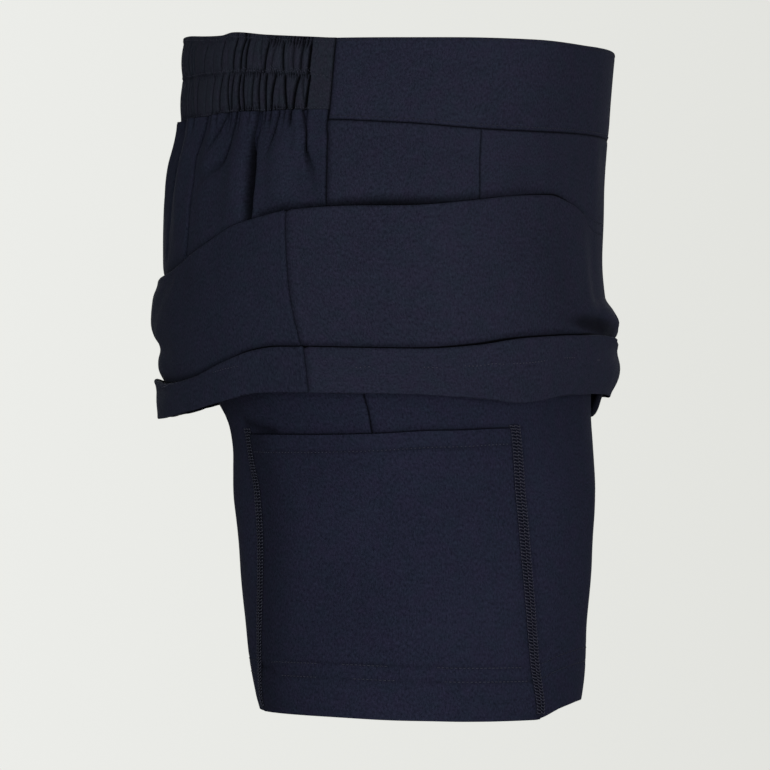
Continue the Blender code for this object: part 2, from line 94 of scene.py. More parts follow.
# Waistband heights round the body.
BAND_BACK = table_of(
    "around top stitch bottom",
    (0, 21.6, -1.2, -24.9), (15, 20.4, -1.8, -25), (30, 18.2, -2.1, -24.5),
    (38, 17.6, -2.1, -24), (43, 18.7, -2.2, -23.2), (56, 16.2, -3.4, -23.6),
    (69, 14.3, -5.2, -23.4), (76, 13.5, -6.6, -23.6))
BAND_FRONT = table_of(
    "around top stitch bottom",
    (75, 13.4, -8, -29), (91, 13.4, -9, -30.7), (109, 13.7, -10, -33.5), (125, 13.7, -10, -34.2),
    (148, 12.6, -10, -34), (180, 12.9, -10, -34.4))

# The lifted skirt round the body: the first layer runs down to a hidden turn, comes back up
# to the lifted fold, falls to the tuck's hidden turn, rises to the tuck and falls as the hem
# strip. "open" is 0 where the lifted fold is pressed flat and 1 where it has died out.
LIFTS = table_of(
    "around turn fold tuck_turn tuck hem open belly lean kick strip",
    (0, -174, -111, -175, -164.6, -186, 0, 3.4, 1.0, 0.2, 0.8),
    (23, -171, -107.2, -177, -167.4, -185, 0, 3.2, 0.8, 0.2, 0.8),
    (39, -164, -96.7, -172, -164.4, -181, 0, 2.6, 0.4, 0.0, 0.4),
    (52, -156, -84.8, -165, -156.0, -175.8, 0, 2.0, 0.0, 0.0, 0.0),
    (60, -152, -80.6, -160, -150.6, -172.2, 0, 1.6, 0.0, 0.0, 0.0),
    (68, -150, -77.2, -158, -148.4, -171.6, 0, 1.2, 0.0, 0.0, 0.0),
    (80, -148, -75.2, -159, -148.8, -171.9, 0, 1.2, 0.0, 0.0, 0.2),
    (97, -145, -74.5, -160, -149.4, -172.6, 0, 1.6, 0.2, 0.2, 0.6),
    (110, -141, -71.8, -159, -147.4, -174.8, 0, 2.0, 0.4, 0.6, 1.0),
    (120, -137, -69.4, -157, -144.2, -176.8, 0, 2.2, 0.6, 0.8, 1.2),
    (134, -118, -68.1, -156, -142.3, -173.5, 0, 2.0, 1.0, 0.0, 1.4),
    (143, -94, -72.2, -157, -141.9, -172.6, 0, 1.8, 1.6, -1.4, 1.6),
    (147, -78.9, -74.9, -161, -141.6, -172.5, 0, 1.0, 2.2, -2.6, 1.8),
    (159, -87.2, -83.2, -168, -142.8, -172.8, 1, 0.0, 2.2, -3.8, 2.0),
    (168, -88, -84, -171, -144.8, -173.6, 1, 0.0, 1.6, -4.6, 2.0),
    (180, -88, -84, -172, -145.4, -174.4, 1, 0.0, 1.6, -4.6, 2.0))
FAR_SIDE_DROP = 3.0       # the unseen side is folded about this much lower
SLIPPED_TURN = 14.0       # past centre front a little of the tuck's hidden turn has slipped out
SLIPPED_AT, SLIPPED_WIDTH = 196, 9

# How far the skirt's side seam swings from its place at the fold, at each stage of the path.
SWINGS = table_of(
    "stage degrees",
    (0, 6.7), (0.07, 7.6), (0.23, 9.1), (0.4, 9.7), (1, 7.5), (2, 0), (2.25, 0.6), (2.6, 2.3),
    (3, 4.8), (4, 5.8), (5, 6.4))
SWING_END = 144           # from this angle to centre front nothing swings

# Soft folds that fall from the gathered back: angle, height out, half width, lower end.
FLUTE_TOP = -24
FLUTES = table_of(
    "around height width end",
    (4, 2.6, 3.0, -84), (11.5, 3.8, 3.4, -108), (24.5, 4.0, 4.2, -116), (38, 2.6, 3.4, -116),
    (50.6, 3.6, 3.4, -112), (63.5, 2.6, 4.2, -90))

# Thigh pocket: its top edge and its two seams round the leg.
POCKET_EDGES = table_of(
    "z back front",
    (-185, 28.6, 122.7), (-200, 28.3, 123), (-226, 31.5, 124.5), (-260, 30.2, 127.2),
    (-313, 23, 132.9), (-343, 17, 137))
POCKET_TOP = -193.0
LEG_HEM = -341.6

# How far a level row of the leg is raised round the leg, at the pocket's top and at the hem.
TILTS = table_of(
    "around pocket hem",
    (-90, 0, 3), (-20, 0, 1.4), (20, -0.7, 1.0), (56, -0.8, 0.4), (80, 0.0, -0.8),
    (94, 1.4, -1.2), (104, 1.7, -1.6), (119, 2.6, -1.8), (134, 1.6, -1.8), (150, 0, 3.6),
    (167, 0, 6.1), (190, 0, 5.6), (270, 0, 3))
POCKET_TILT_REACH = 40
FIRST_LEG_ROW = -30
SECOND_LEG_ROW = -50
CROTCH_ROW = -228
SEAM_MOVES = (-50, -120)

# ---- sizes of the finer form -----------------------------------------------------------------
DEGREE = 2.62             # millimetres of cloth in a degree of the hips
THIN_EDGE = 0.22          # share of the thickness left at a rounded edge
STITCH = 2.3              # pitch of the stitch rows
STITCH_SPACE = 0.5        # between two stitches of a row
THREAD = 0.17             # radius of the sewing thread
GROOVE = 0.8              # half width of the groove that a stitch row or a seam draws
SEAM_DIP = 0.6            # how deep a seam lies
SEAM_DARK, SEAM_DARK_REACH = 0.85, 0.5    # how dark a seam's line and the painted shade in its groove are, and the half width


# ---- reading the tables and small sums -------------------------------------------------------
def read(table, keys):
    """Every column of the table at the keys, on a smooth curve through its rows."""
    rows = np.array(sorted(table), float)
    x, y = rows[:, 0], rows[:, 1:]
    keys = np.clip(np.asarray(keys, float), x[0], x[-1])
    low = np.clip(np.searchsorted(x, keys, side="right") - 1, 0, len(x) - 2)
    high, before, after = low + 1, np.maximum(low - 1, 0), np.minimum(low + 2, len(x) - 1)
    step = (x[high] - x[low])[..., None]
    t = (keys - x[low])[..., None] / step
    a, b, c, d = y[before], y[low], y[high], y[after]
    slope_in = (c - a) / (x[high] - x[before])[..., None] * step
    slope_out = (d - b) / (x[after] - x[low])[..., None] * step
    slope_in = np.where((c - b) * (b - a) <= 0, 0.0, slope_in)
    slope_out = np.where((c - b) * (d - c) <= 0, 0.0, slope_out)
    values = ((2 * t**3 - 3 * t**2 + 1) * b + (t**3 - 2 * t**2 + t) * slope_in
              + (3 * t**2 - 2 * t**3) * c + (t**3 - t**2) * slope_out)
    return type(table[0])(keys, *np.moveaxis(values, -1, 0))


def mix(a, b, t):
    return a + (b - a) * t


def ease(t):
    """0 to 1 with level ends."""
    t = np.clip(t, 0.0, 1.0)
    return t * t * (3 - 2 * t)


def bell(distance, width):
    return np.exp(-(distance / width) ** 2)


def groove(distance, depth, reach=GROOVE):
    """How far a seam or a stitch row at that distance draws the cloth in."""
    return -depth * bell(distance, reach)


def half_turn(around):
    """The same place on the wearer's right half, 0 to 180."""
    around = np.mod(around, 360)
    return np.minimum(around, 360 - around)


def half_gap(radius, gap=SEAM_GAP):
    """Half a seam gap as an angle, at that distance from the middle."""
    return math.degrees(gap / 2 / radius)


def spaced(start, end, count, edge):
    """Even places from start to end, with close ones within `edge` of both ends."""
    edge = np.sign(end - start) * edge
    near = edge * np.array([0, 0.1, 0.3, 0.6])
    inner = np.linspace(start + edge, end - edge, count)
    return np.concatenate([start + near, inner, end - near[::-1]])


def even(*stretches):
    """Even places along joining stretches, each (start, end, count), without the last end."""
    return np.concatenate([np.linspace(*stretch)[:-1] for stretch in stretches])


def both_sides(half):
    """Columns from one side over centre back to the other."""
    return np.concatenate([-half[:0:-1], half])


def drift(u, v, length, seed):
    """Slow uneven waves between about -1 and 1, with that mean wavelength."""
    draw = np.random.RandomState(seed)
    total = np.zeros(np.broadcast(u, v).shape)
    for _ in range(7):
        angle, phase = draw.uniform(0, math.pi), draw.uniform(0, 2 * math.pi)
        rate = 2 * math.pi / (length * draw.uniform(0.7, 1.5))
        total += np.sin(rate * (u * math.cos(angle) + v * math.sin(angle)) + phase)
    return total / 3.2


# ---- sections as points ----------------------------------------------------------------------
def on_oval(around, middle_x, middle_y, half_width, depth, out, roundness):
    """Points on superellipses, moved out along their normals by `out`."""
    s, c = np.sin(np.radians(around)), np.cos(np.radians(around))
    power = 2 / roundness
    x = -half_width * np.sign(s) * np.abs(s) ** power
    y = depth * np.sign(c) * np.abs(c) ** power
    nx = np.sign(x) * np.abs(x / half_width) ** (roundness - 1) / half_width
    ny = np.sign(y) * np.abs(y / depth) ** (roundness - 1) / depth
    length = np.hypot(nx, ny)
    return middle_x + x + out * nx / length, middle_y + y + out * ny / length


def hip_points(around, z, out):
    hip = read(HIPS, z)
    x, y = on_oval(around, 0, (hip.back - hip.front) / 2, hip.half_width,
                   (hip.back + hip.front) / 2, out, ROUNDNESS)
    return np.stack(np.broadcast_arrays(x, y, z), axis=-1)


def leg_points(around, z, out):
    """Points of the wearer's right leg; the centre plane may cut the section."""
    leg = read(LEGS, z)
    x, y = on_oval(around, -(leg.outer - leg.inner) / 2, (leg.back - leg.front) / 2,
                   (leg.outer + leg.inner) / 2, (leg.back + leg.front) / 2, out, leg.roundness)
    return np.stack(np.broadcast_arrays(x, y, z), axis=-1)


# ---- shells ----------------------------------------------------------------------------------
INSIDE_SHADE = 0.35       # painted shade on the inner sides, as a share of a deep seam

# The middle of a wall by row and column, its outward normals, how thick it is, how far each
# point of its outer side stands out or dips, and how much seam lines and painted shade
# darken it, 0 to 1.
Shell = namedtuple("Shell", "middle normal half relief ditch")
Edges = namedtuple("Edges", "top bottom left right")


def edge_distances(middle):
    """Distances along the cloth from each point to the four edges of its grid."""
    down = np.linalg.norm(np.diff(middle, axis=0), axis=2)
    across = np.linalg.norm(np.diff(middle, axis=1), axis=2)
    top = np.concatenate([np.zeros((1, middle.shape[1])), np.cumsum(down, axis=0)])
    left = np.concatenate([np.zeros((middle.shape[0], 1)), np.cumsum(across, axis=1)], axis=1)
    return Edges(top, top[-1:] - top, left, left[:, -1:] - left)


def unit(vectors):
    return vectors / np.maximum(np.linalg.norm(vectors, axis=-1, keepdims=True), 1e-9)


def shell_of(middle, thick, relief=0.0, ditch=0.0, rounded=Edges._fields):
    """A shell whose named edges are rounded."""
    normal = unit(np.cross(np.gradient(middle, axis=0), np.gradient(middle, axis=1)))
    edges = edge_distances(middle)
    near = np.minimum.reduce([getattr(edges, edge) for edge in rounded])
    share = np.clip(near / (thick / 2), 0, 1)
    rounding = np.maximum(np.sqrt(1 - (1 - share) ** 2), THIN_EDGE)
    relief = np.broadcast_to(relief, near.shape) * ease(near / 0.5)
    return Shell(middle, normal, thick / 2 * rounding, relief,
                 np.clip(np.broadcast_to(ditch, near.shape), 0, 1))


def outer_side(shell):
    return shell.middle + shell.normal * (shell.half + shell.relief)[..., None]


def mirrored(shell):
    """The same shell on the wearer's other side."""
    flip = np.array([-1, 1, 1])
    return Shell((shell.middle * flip)[:, ::-1], (shell.normal * flip)[:, ::-1],
                 shell.half[:, ::-1], shell.relief[:, ::-1], shell.ditch[:, ::-1])


def shell_faces(rows, columns):
    """Quads of a closed shell: outer grid, inner grid and the four edges."""
    index = np.arange(rows * columns).reshape(rows, columns)
    corners = [index[:-1, :-1], index[1:, :-1], index[1:, 1:], index[:-1, 1:]]
    outer = np.stack(corners, axis=-1).reshape(-1, 4)
    shift = rows * columns
    faces = [outer, outer[:, ::-1] + shift]
    for line in (index[0], index[-1, ::-1], index[::-1, 0], index[:, -1]):
        start, end = line[:-1], line[1:]
        faces.append(np.stack([start, end, end + shift, start + shift], axis=-1))
    return np.concatenate(faces)


def add_object(name, mesh, material):
    mesh.materials.append(material)
    piece = bpy.data.objects.new(name, mesh)
    bpy.context.collection.objects.link(piece)
    return piece


def add_shell(name, shell, material, fullness=1.0):
    """A mesh object of the shell, with the cloth's own flat coordinates in metres as its UVs."""
    inner = shell.middle - shell.normal * shell.half[..., None]
    points = np.concatenate([outer_side(shell).reshape(-1, 3), inner.reshape(-1, 3)]) * MM
    faces = shell_faces(*shell.half.shape)
    mesh = bpy.data.meshes.new(name)
    mesh.vertices.add(len(points))
    mesh.vertices.foreach_set("co", points.ravel())
    mesh.loops.add(faces.size)
    mesh.loops.foreach_set("vertex_index", faces.ravel())
    mesh.polygons.add(len(faces))
    mesh.polygons.foreach_set("loop_start", np.arange(0, faces.size, 4))
    mesh.update(calc_edges=True)
    edges = edge_distances(shell.middle)
    across, down = np.median(edges.left, axis=0) * fullness, np.median(edges.top, axis=1)
    flat = np.stack(np.broadcast_arrays(across[None, :], down[:, None]), axis=-1)
    flat = np.concatenate([flat.reshape(-1, 2)] * 2) * MM
    mesh.uv_layers.new(name="cloth").data.foreach_set("uv", flat[faces.ravel()].ravel())
    # A point attribute of the seams' dark lines and of painted shade; the inner sides get
    # INSIDE_SHADE.
    depth = mesh.attributes.new("ditch", "FLOAT", "POINT")
    inside = np.full(shell.ditch.size, INSIDE_SHADE)
    depth.data.foreach_set("value", np.concatenate([shell.ditch.ravel(), inside]))
    mesh.shade_smooth()
    mesh.validate()
    return add_object(name, mesh, material)


# ---- waistband -------------------------------------------------------------------------------
BAND_TOP_ROW = 2.0        # topstitch below the waistband's top edge
BAND_SEAM_ROW = 2.4       # topstitch above the waistband's lower seam
HEADING = 3.0             # ruffled heading above the first channel of the casing
BAND_RAISE = 0.8          # the rounded top edge stands this much above the solids' sharp one
BAND_SEAM_LEAN = 0.021    # degrees that the waistband's side seam leans back in each millimetre
BAND_SEAM_UPRIGHT = 8     # height where it is at its own angle
BAND_ROW_DIP = 0.16       # how deep its stitch rows lie
BAND_WAVES, BAND_WAVE_LENGTH = 0.3, 60


def leaned(around, z):
    """Places near the waistband's side seam, moved as the seam leans."""
    lean = BAND_SEAM_LEAN * (z - BAND_SEAM_UPRIGHT) * bell(half_turn(around) - SIDE_SEAM_BAND, 8)
    return around + lean * np.sign(np.sin(np.radians(around)))


def front_band():
    start = SIDE_SEAM_BAND + half_gap(WAIST_RADIUS, SIDE_GAP)
    around = spaced(start, 360 - start, 300, 0.45)
    place = spaced(0, 1, 30, 0.03)[:, None]
    band = read(BAND_FRONT, half_turn(around))
    z = mix(band.top + BAND_RAISE, band.bottom, place)
    from_seam = ease((half_turn(around) - SIDE_SEAM_BAND) / 6)
    waves = BAND_WAVES * drift(around * DEGREE, z, BAND_WAVE_LENGTH, seed=11)
    waves = waves * np.sin(np.pi * place) * from_seam
    middle = hip_points(leaned(around, z), z, CLOTH / 2 - BAND_THICK / 2 + waves)
    edges = edge_distances(middle)
    side = np.minimum(edges.left, edges.right)
    relief = (groove(edges.top - BAND_TOP_ROW, BAND_ROW_DIP)
              + groove(edges.bottom - BAND_SEAM_ROW, BAND_ROW_DIP)
              + groove(edges.bottom, SEAM_DIP) + groove(side, SEAM_DIP))
    # The seams' dark lines, with painted shade in their grooves.
    ditch = SEAM_DARK * bell(np.minimum(side, edges.bottom), SEAM_DARK_REACH)
    return shell_of(middle, BAND_THICK, relief, ditch)


def casing_middle():
    """How far the casing's middle stitch row lies below its top edge, in each column."""
    band = read(BAND_BACK, half_turn(casing_columns()))
    return band.top + BAND_RAISE - band.stitch


# Gathers of the casing on the wearer's right: angle of each valley at the head and at the
# foot of its channel, depth, and the shares of the channel between which it runs.
Gather = namedtuple("Gather", "head foot depth start end")
UPPER_GATHERS = [Gather(*row) for row in (
    (24.6, 23.6, 0.5, 0.1, 1.0), (31.9, 29.6, 1.4, 0.15, 1.0), (36.0, 35.0, 0.6, 0.3, 0.8),
    (40.3, 39.1, 1.6, 0.1, 0.85), (42.7, 41.8, 0.6, 0.4, 1.0), (45.4, 44.1, 2.4, 0.05, 1.0),
    (48.7, 46.7, 3.0, 0.0, 1.0), (50.0, 48.8, 2.6, 0.05, 0.95), (52.3, 51.7, 0.7, 0.1, 0.7),
    (54.6, 54.9, 1.0, 0.0, 1.0), (56.9, 55.5, 2.5, 0.1, 1.0), (59.5, 57.8, 1.2, 0.0, 1.0),
    (61.7, 61.6, 2.0, 0.1, 1.0), (63.2, 63.2, 0.6, 0.4, 1.0), (64.6, 64.9, 1.4, 0.1, 0.8),
    (67.6, 66.6, 1.7, 0.0, 0.85), (69.5, 69.1, 3.0, 0.1, 1.0))]
LOWER_GATHERS = [Gather(*row) for row in (
    (27.0, 26.5, 0.4, 0.2, 1.0), (32.5, 31.5, 0.7, 0.2, 1.0), (36.4, 35.0, 1.4, 0.1, 1.0),
    (39.6, 38.8, 2.2, 0.0, 1.0), (42.5, 42.6, 2.3, 0.0, 1.0), (44.4, 43.9, 2.4, 0.0, 1.0),
    (47.0, 47.2, 3.0, 0.0, 1.0), (48.6, 48.9, 2.6, 0.0, 1.0), (50.4, 50.3, 0.6, 0.3, 1.0),
    (52.0, 52.0, 1.7, 0.0, 1.0), (54.4, 54.3, 2.1, 0.0, 1.0), (56.4, 56.5, 2.5, 0.0, 1.0),
    (59.4, 58.4, 2.8, 0.0, 1.0), (61.0, 60.8, 0.8, 0.5, 1.0), (62.3, 63.0, 2.5, 0.0, 1.0),
    (64.5, 64.0, 0.7, 0.5, 1.0), (66.7, 65.0, 2.8, 0.0, 1.0), (67.8, 68.4, 1.2, 0.0, 0.7),
    (69.6, 68.9, 2.9, 0.0, 1.0))]
MIDDLE_GATHERS = 13       # gathers from centre back to the first one of the tables
GATHER_WIDTH = 0.42       # half width of a valley, in degrees
PLAIN_PUFF, GATHERED_PUFF, HEADING_PUFF = 0.2, 1.35, 0.3    # how far the cloth stands out
CASING_ROW_DIP, CASING_SEAM_DIP = 0.2, 0.8     # how deep its stitch rows and side seams lie
# Wrinkles at the casing's head, at its middle stitch row and at its foot.
PUCKERS = table_of(
    "strength pitch lean reach seed",
    (3.0, 0.82, -0.10, 3.4, 51), (2.3, 0.74, 0.06, 1.9, 53), (2.6, 0.80, -0.05, 2.2, 55))
HEAD_PUCKERS_AT = 2.2     # below the casing's top edge
# Painted shade in a gather and a wrinkle: how dark it gets, the depth where that starts and
# the depth it takes.
GATHER_DARK, GATHER_DARK_FROM, GATHER_DARK_OVER = 0.95, 0.6, 1.4
PUCKER_DARK, PUCKER_DARK_FROM, PUCKER_DARK_OVER = 0.8, 0.4, 1.0


def all_gathers(table, seed):
    """The table's gathers, those between centre back and them, and all of the wearer's left."""
    draw = np.random.RandomState(seed)
    gathers = []
    for side in (1, -1):
        for g in table:
            shift = 0.0 if side > 0 else draw.uniform(-0.6, 0.6)
            depth = g.depth if side > 0 else g.depth * draw.uniform(0.7, 1.15)
            gathers.append(g._replace(head=side * (g.head + shift), foot=side * (g.foot + shift),
                                      depth=depth))
        for k in range(MIDDLE_GATHERS):
            place = k + 0.5 + draw.uniform(-0.3, 0.3)
            around = side * table[0].head * place / MIDDLE_GATHERS
            start, end = draw.uniform(0, 0.3), draw.uniform(0.7, 1)
            foot, depth = around + draw.uniform(-0.8, 0.8), draw.uniform(0.7, 2.2)
            gathers.append(Gather(around, foot, depth, start, end))
    return gathers


def gather_relief(around, down, gathers):
    """Valleys of the gathers; `down` runs from 0 at a channel's head to 1 at its foot."""
    total = np.zeros(np.broadcast(around, down).shape)
    down = np.clip(down, 0, 1)
    for g in gathers:
        offset = around - mix(g.head, g.foot, down) - 0.12 * np.sin(3 * down + g.head)
        run = ease((down - g.start + 0.12) / 0.12) * ease((g.end + 0.12 - down) / 0.12)
        total -= g.depth * run * np.exp(-np.abs(offset / GATHER_WIDTH) ** 1.4)
    return total


def puckers(around, distance, row):
    """Short uneven wrinkles across a stitch row, `distance` millimetres below it."""
    wobble = 1.6 * drift(around * DEGREE, 0 * around, 9, row.seed)
    wave = np.cos(2 * math.pi * (around - row.lean * distance) / row.pitch + wobble)
    uneven = 0.55 + 0.45 * drift(around * DEGREE, 0 * around, 14, row.seed + 1)
    height = 0.3 * np.maximum(-wave, 0) - np.maximum(wave, 0) ** 2
    return height * bell(distance, row.reach) * uneven


def casing_columns():
    plain = SIDE_SEAM_BAND - half_gap(WAIST_RADIUS, SIDE_GAP)
    even_ones = even((0, 26, 110), (26, 70.6, 300))
    return both_sides(np.concatenate([even_ones, spaced(70.6, plain, 16, 0.45)[4:]]))


def back_casing():
    around = casing_columns()
    place = np.concatenate([spaced(0, 1, 22, 0.035), spaced(1, 2, 20, 0.035)[1:]])[:, None]
    in_upper = place < 1
    band = read(BAND_BACK, half_turn(around))
    top = band.top + BAND_RAISE
    z = np.where(place <= 1, mix(top, band.stitch, place),
                 mix(band.stitch, band.bottom, place - 1))
    upper_height, lower_height = top - band.stitch, band.stitch - band.bottom
    head = HEADING / upper_height
    upper, lower = (place - head) / (1 - head), place - 1
    side = half_turn(around)
    gathered = ease((GATHER_END + 0.3 - side) / 0.7)
    channel = np.sin(np.pi * np.clip(np.where(in_upper, upper, lower), 0, 1)) ** 0.85
    puff = mix(PLAIN_PUFF, GATHERED_PUFF, gathered) * np.where(place < head, HEADING_PUFF, channel)
    folds = np.where(in_upper, gather_relief(around, upper, all_gathers(UPPER_GATHERS, 3)),
                     gather_relief(around, lower, all_gathers(LOWER_GATHERS, 4)))
    below_top = place * upper_height
    below_middle = (place - 1) * np.where(in_upper, upper_height, lower_height)
    above_foot = np.where(in_upper, 99.0, (2 - place) * lower_height)
    ruffled = 0.25 + 0.75 * ease((side - 54) / 5)
    at_head, at_middle, at_foot = PUCKERS
    ticks = (at_head.strength * ruffled * puckers(around, below_top - HEAD_PUCKERS_AT, at_head)
             + at_middle.strength * puckers(around, below_middle, at_middle)
             + at_foot.strength * puckers(around, above_foot, at_foot))
    held = 1 - 0.6 * bell(below_middle, 1.0) - 0.35 * bell(below_top - HEADING, 0.8)
    tight = 0.75 + 0.25 * ease((side - 24) / 12)
    folds, ticks = folds * held * gathered * tight, ticks * gathered * tight
    middle = hip_points(leaned(around, z), z, -CASING_INSET + 0.0 * place)
    edges = edge_distances(middle)
    seam = np.minimum(edges.left, edges.right)
    rows = bell(below_middle, GROOVE) + 0.8 * bell(below_top - HEADING, GROOVE)
    relief = puff + folds + ticks - CASING_ROW_DIP * rows + groove(seam, CASING_SEAM_DIP)
    # Painted shade in the valleys of the gathers and wrinkles, then the seams' dark lines.
    ditch = (GATHER_DARK * ease((-folds - GATHER_DARK_FROM) / GATHER_DARK_OVER)
             + PUCKER_DARK * ease((-ticks - PUCKER_DARK_FROM) / PUCKER_DARK_OVER))
    ditch = np.maximum(ditch, SEAM_DARK * bell(seam, SEAM_DARK_REACH))
    return shell_of(middle, CASING_THICK, relief, ditch, ("top", "left", "right"))


# ---- skirt -----------------------------------------------------------------------------------
# Segments of the skirt's path from the waist seam to the hem. A layer that goes in behind a fold
# has three stretches: open, close rows at the fold's edge, and hidden. Each turn between two
# layers is a half circle.
LAYER_SEGMENTS = (25, 14, 5)
RISE_SEGMENTS, TUCK_SEGMENTS, STRIP_SEGMENTS, TURN_SEGMENTS = 6, 5, 12, 6
CLOSE_ABOVE, CLOSE_BELOW = 8.0, 1.0       # the close rows' reach above and below a fold's edge
SWING_TOP = -31           # the side seam starts to swing at this height
SHORTEST_RISE = 0.4       # way up between the lifted fold's turns where it dies
FLUTES_FADE = 0.6         # stage from which the soft folds fade towards the hidden turn


def turn_points(start_out, z, rising, stage):
    """A half circle from one layer to the next one out; z is its lowest or highest point."""
    r = FOLD_RADIUS
    points = []
    for k in range(1, TURN_SEGMENTS):
        angle = math.pi * k / TURN_SEGMENTS
        lift = -math.sin(angle) if rising else math.sin(angle)
        centre = z + r if rising else z - r
        points.append((start_out + r * (1 - math.cos(angle)), centre + r * lift, stage))
    return points


def layer_places(start, end, edge):
    """Places, 0 to 1, along a layer that goes in behind a fold whose edge has that height."""
    near = np.clip((start - edge - CLOSE_ABOVE) / (start - end), 0.1, 0.9)
    behind = np.clip((start - edge + CLOSE_BELOW) / (start - end), near + 0.02, 0.97)
    stretches = zip((0, near, behind), (near, behind, 1), LAYER_SEGMENTS)
    return [0] + [mix(a, b, (k + 1) / count) for a, b, count in stretches for k in range(count)]


def run_points(start, end, places, stage, belly=0.0):
    """Points along one layer at those places, 0 to 1; belly swells it outwards."""
    points = []
    for t in places:
        out = mix(start[0], end[0], ease(t)) + belly * np.sin(np.pi * t) ** 2
        points.append((out, mix(start[1], end[1], t), stage + t))
    return points


def lifted_fold(turn, fold, flatness):
    """The lifted fold's hidden turn, way up and visible turn, opening out as it dies."""
    bend = math.pi * (1 - flatness)
    step = math.pi / TURN_SEGMENTS * (1 - flatness) / 2
    chord = math.pi * FOLD_RADIUS / TURN_SEGMENTS * np.sinc(step / math.pi)
    up = RISE_SEGMENTS
    rise = np.maximum(fold - turn - 2 * FOLD_RADIUS, SHORTEST_RISE)
    moves = [(chord, bend * (k + 0.5) / TURN_SEGMENTS, 1) for k in range(TURN_SEGMENTS)]
    moves += [(rise / up, bend, 1 + (k + 1) / up) for k in range(up)]
    moves += [(chord, bend * (1 - (k + 0.5) / TURN_SEGMENTS), 2) for k in range(TURN_SEGMENTS)]
    points = [(0.0 * turn, 0.0 * turn, 1)]
    for length, heading, stage in moves:
        out, z = points[-1][:2]
        points.append((out + length * np.sin(heading), z - length * np.cos(heading), stage))
    raise_by = (turn + fold) / 2 - points[-1][1] / 2
    excess = (points[-1][0] - 2 * FOLD_RADIUS * (1 - flatness)) / (len(points) - 1)
    return [(out - k * excess, z + raise_by, stage) for k, (out, z, stage) in enumerate(points)]


def swung(around, stage):
    """Where a point lies round the body; `around` is its place along the lifted fold."""
    side = half_turn(around)
    share = np.where(side < SWING_END, np.sin(np.pi * side / SWING_END), 0)
    return around + read(SWINGS, stage).degrees * share * np.sign(np.sin(np.radians(around)))


def first_layer(top, turn, fold):
    """Points down the first layer, which goes in behind the lifted fold."""
    heights = [(0.0 * turn + top - step) for step in (0, 0.15, 0.4)]
    heights += [mix(top - 1.0, turn, t) for t in layer_places(top - 1.0, turn, fold)]
    return [(0.0 * turn, z, np.clip((SWING_TOP - z) / (SWING_TOP - turn), 0, 1))
            for z in heights]


def far_side_drop(around):
    return FAR_SIDE_DROP * ease((np.sin(np.radians(-around)) + 0.2) / 1.2)


def skirt_path(around, top):
    """Distances out of the hip section, heights and stages from the waist seam to the hem."""
    at_fold = read(LIFTS, half_turn(around))
    at_tuck = read(LIFTS, half_turn(swung(around, 4)))
    at_hem = read(LIFTS, half_turn(swung(around, 5)))
    drop = far_side_drop(around)
    turn, fold, tuck_turn = at_fold.turn - drop, at_fold.fold - drop, at_tuck.tuck_turn - drop
    tuck_turn = tuck_turn - SLIPPED_TURN * bell(np.mod(around, 360) - SLIPPED_AT, SLIPPED_WIDTH)
    tuck, hem = at_tuck.tuck - drop, at_hem.hem - drop * ease((half_turn(around) - 50) / 50)
    r = FOLD_RADIUS
    bends = lifted_fold(turn, fold, at_fold.open)
    low = 4 * r + at_fold.lean
    second = layer_places(bends[-1][1], tuck_turn + r, tuck)
    strip = np.append(np.linspace(0, 0.98, STRIP_SEGMENTS), [0.99, 0.995, 1])
    path = (first_layer(top, bends[0][1], fold)
            + bends[1:]
            + run_points(bends[-1][:2], (low, tuck_turn + r), second, 2, at_fold.belly)[1:]
            + turn_points(low, tuck_turn, True, 3)
            + run_points((low + 2 * r, tuck_turn + r), (low + 2 * r, tuck - r),
                         np.linspace(0, 1, TUCK_SEGMENTS + 1), 3)
            + turn_points(low + 2 * r, tuck, False, 4)
            + run_points((low + 4 * r, tuck - r), (low + 4 * r, hem), strip, 4, at_fold.strip))
    out, z, stage = (np.stack(np.broadcast_arrays(*column)) for column in zip(*[
        np.broadcast_arrays(*point) for point in path]))
    kick = at_fold.kick * ease((tuck - z) / (tuck - hem)) * ease(stage - 2)
    return out + kick, z, stage


def flute_height(around, z):
    """How far the soft folds below the gathers stand out."""
    height = 0.0
    for flute in FLUTES:
        along = ease((z - flute.end) / (FLUTE_TOP - flute.end))
        across = bell(half_turn(around) - flute.around, flute.width)
        height = height + flute.height * along * across
    return height


# Creases: the stage of the path where their layer starts and ends, and the places that each
# runs through: angle, height, how far it stands out and its half width in millimetres.
Place = namedtuple("Place", "around z out width")
Crease = namedtuple("Crease", "start end places")
YOKE = (0, 0.9)


def crease(start, end, *places):
    return Crease(start, end, [Place(*place) for place in places])


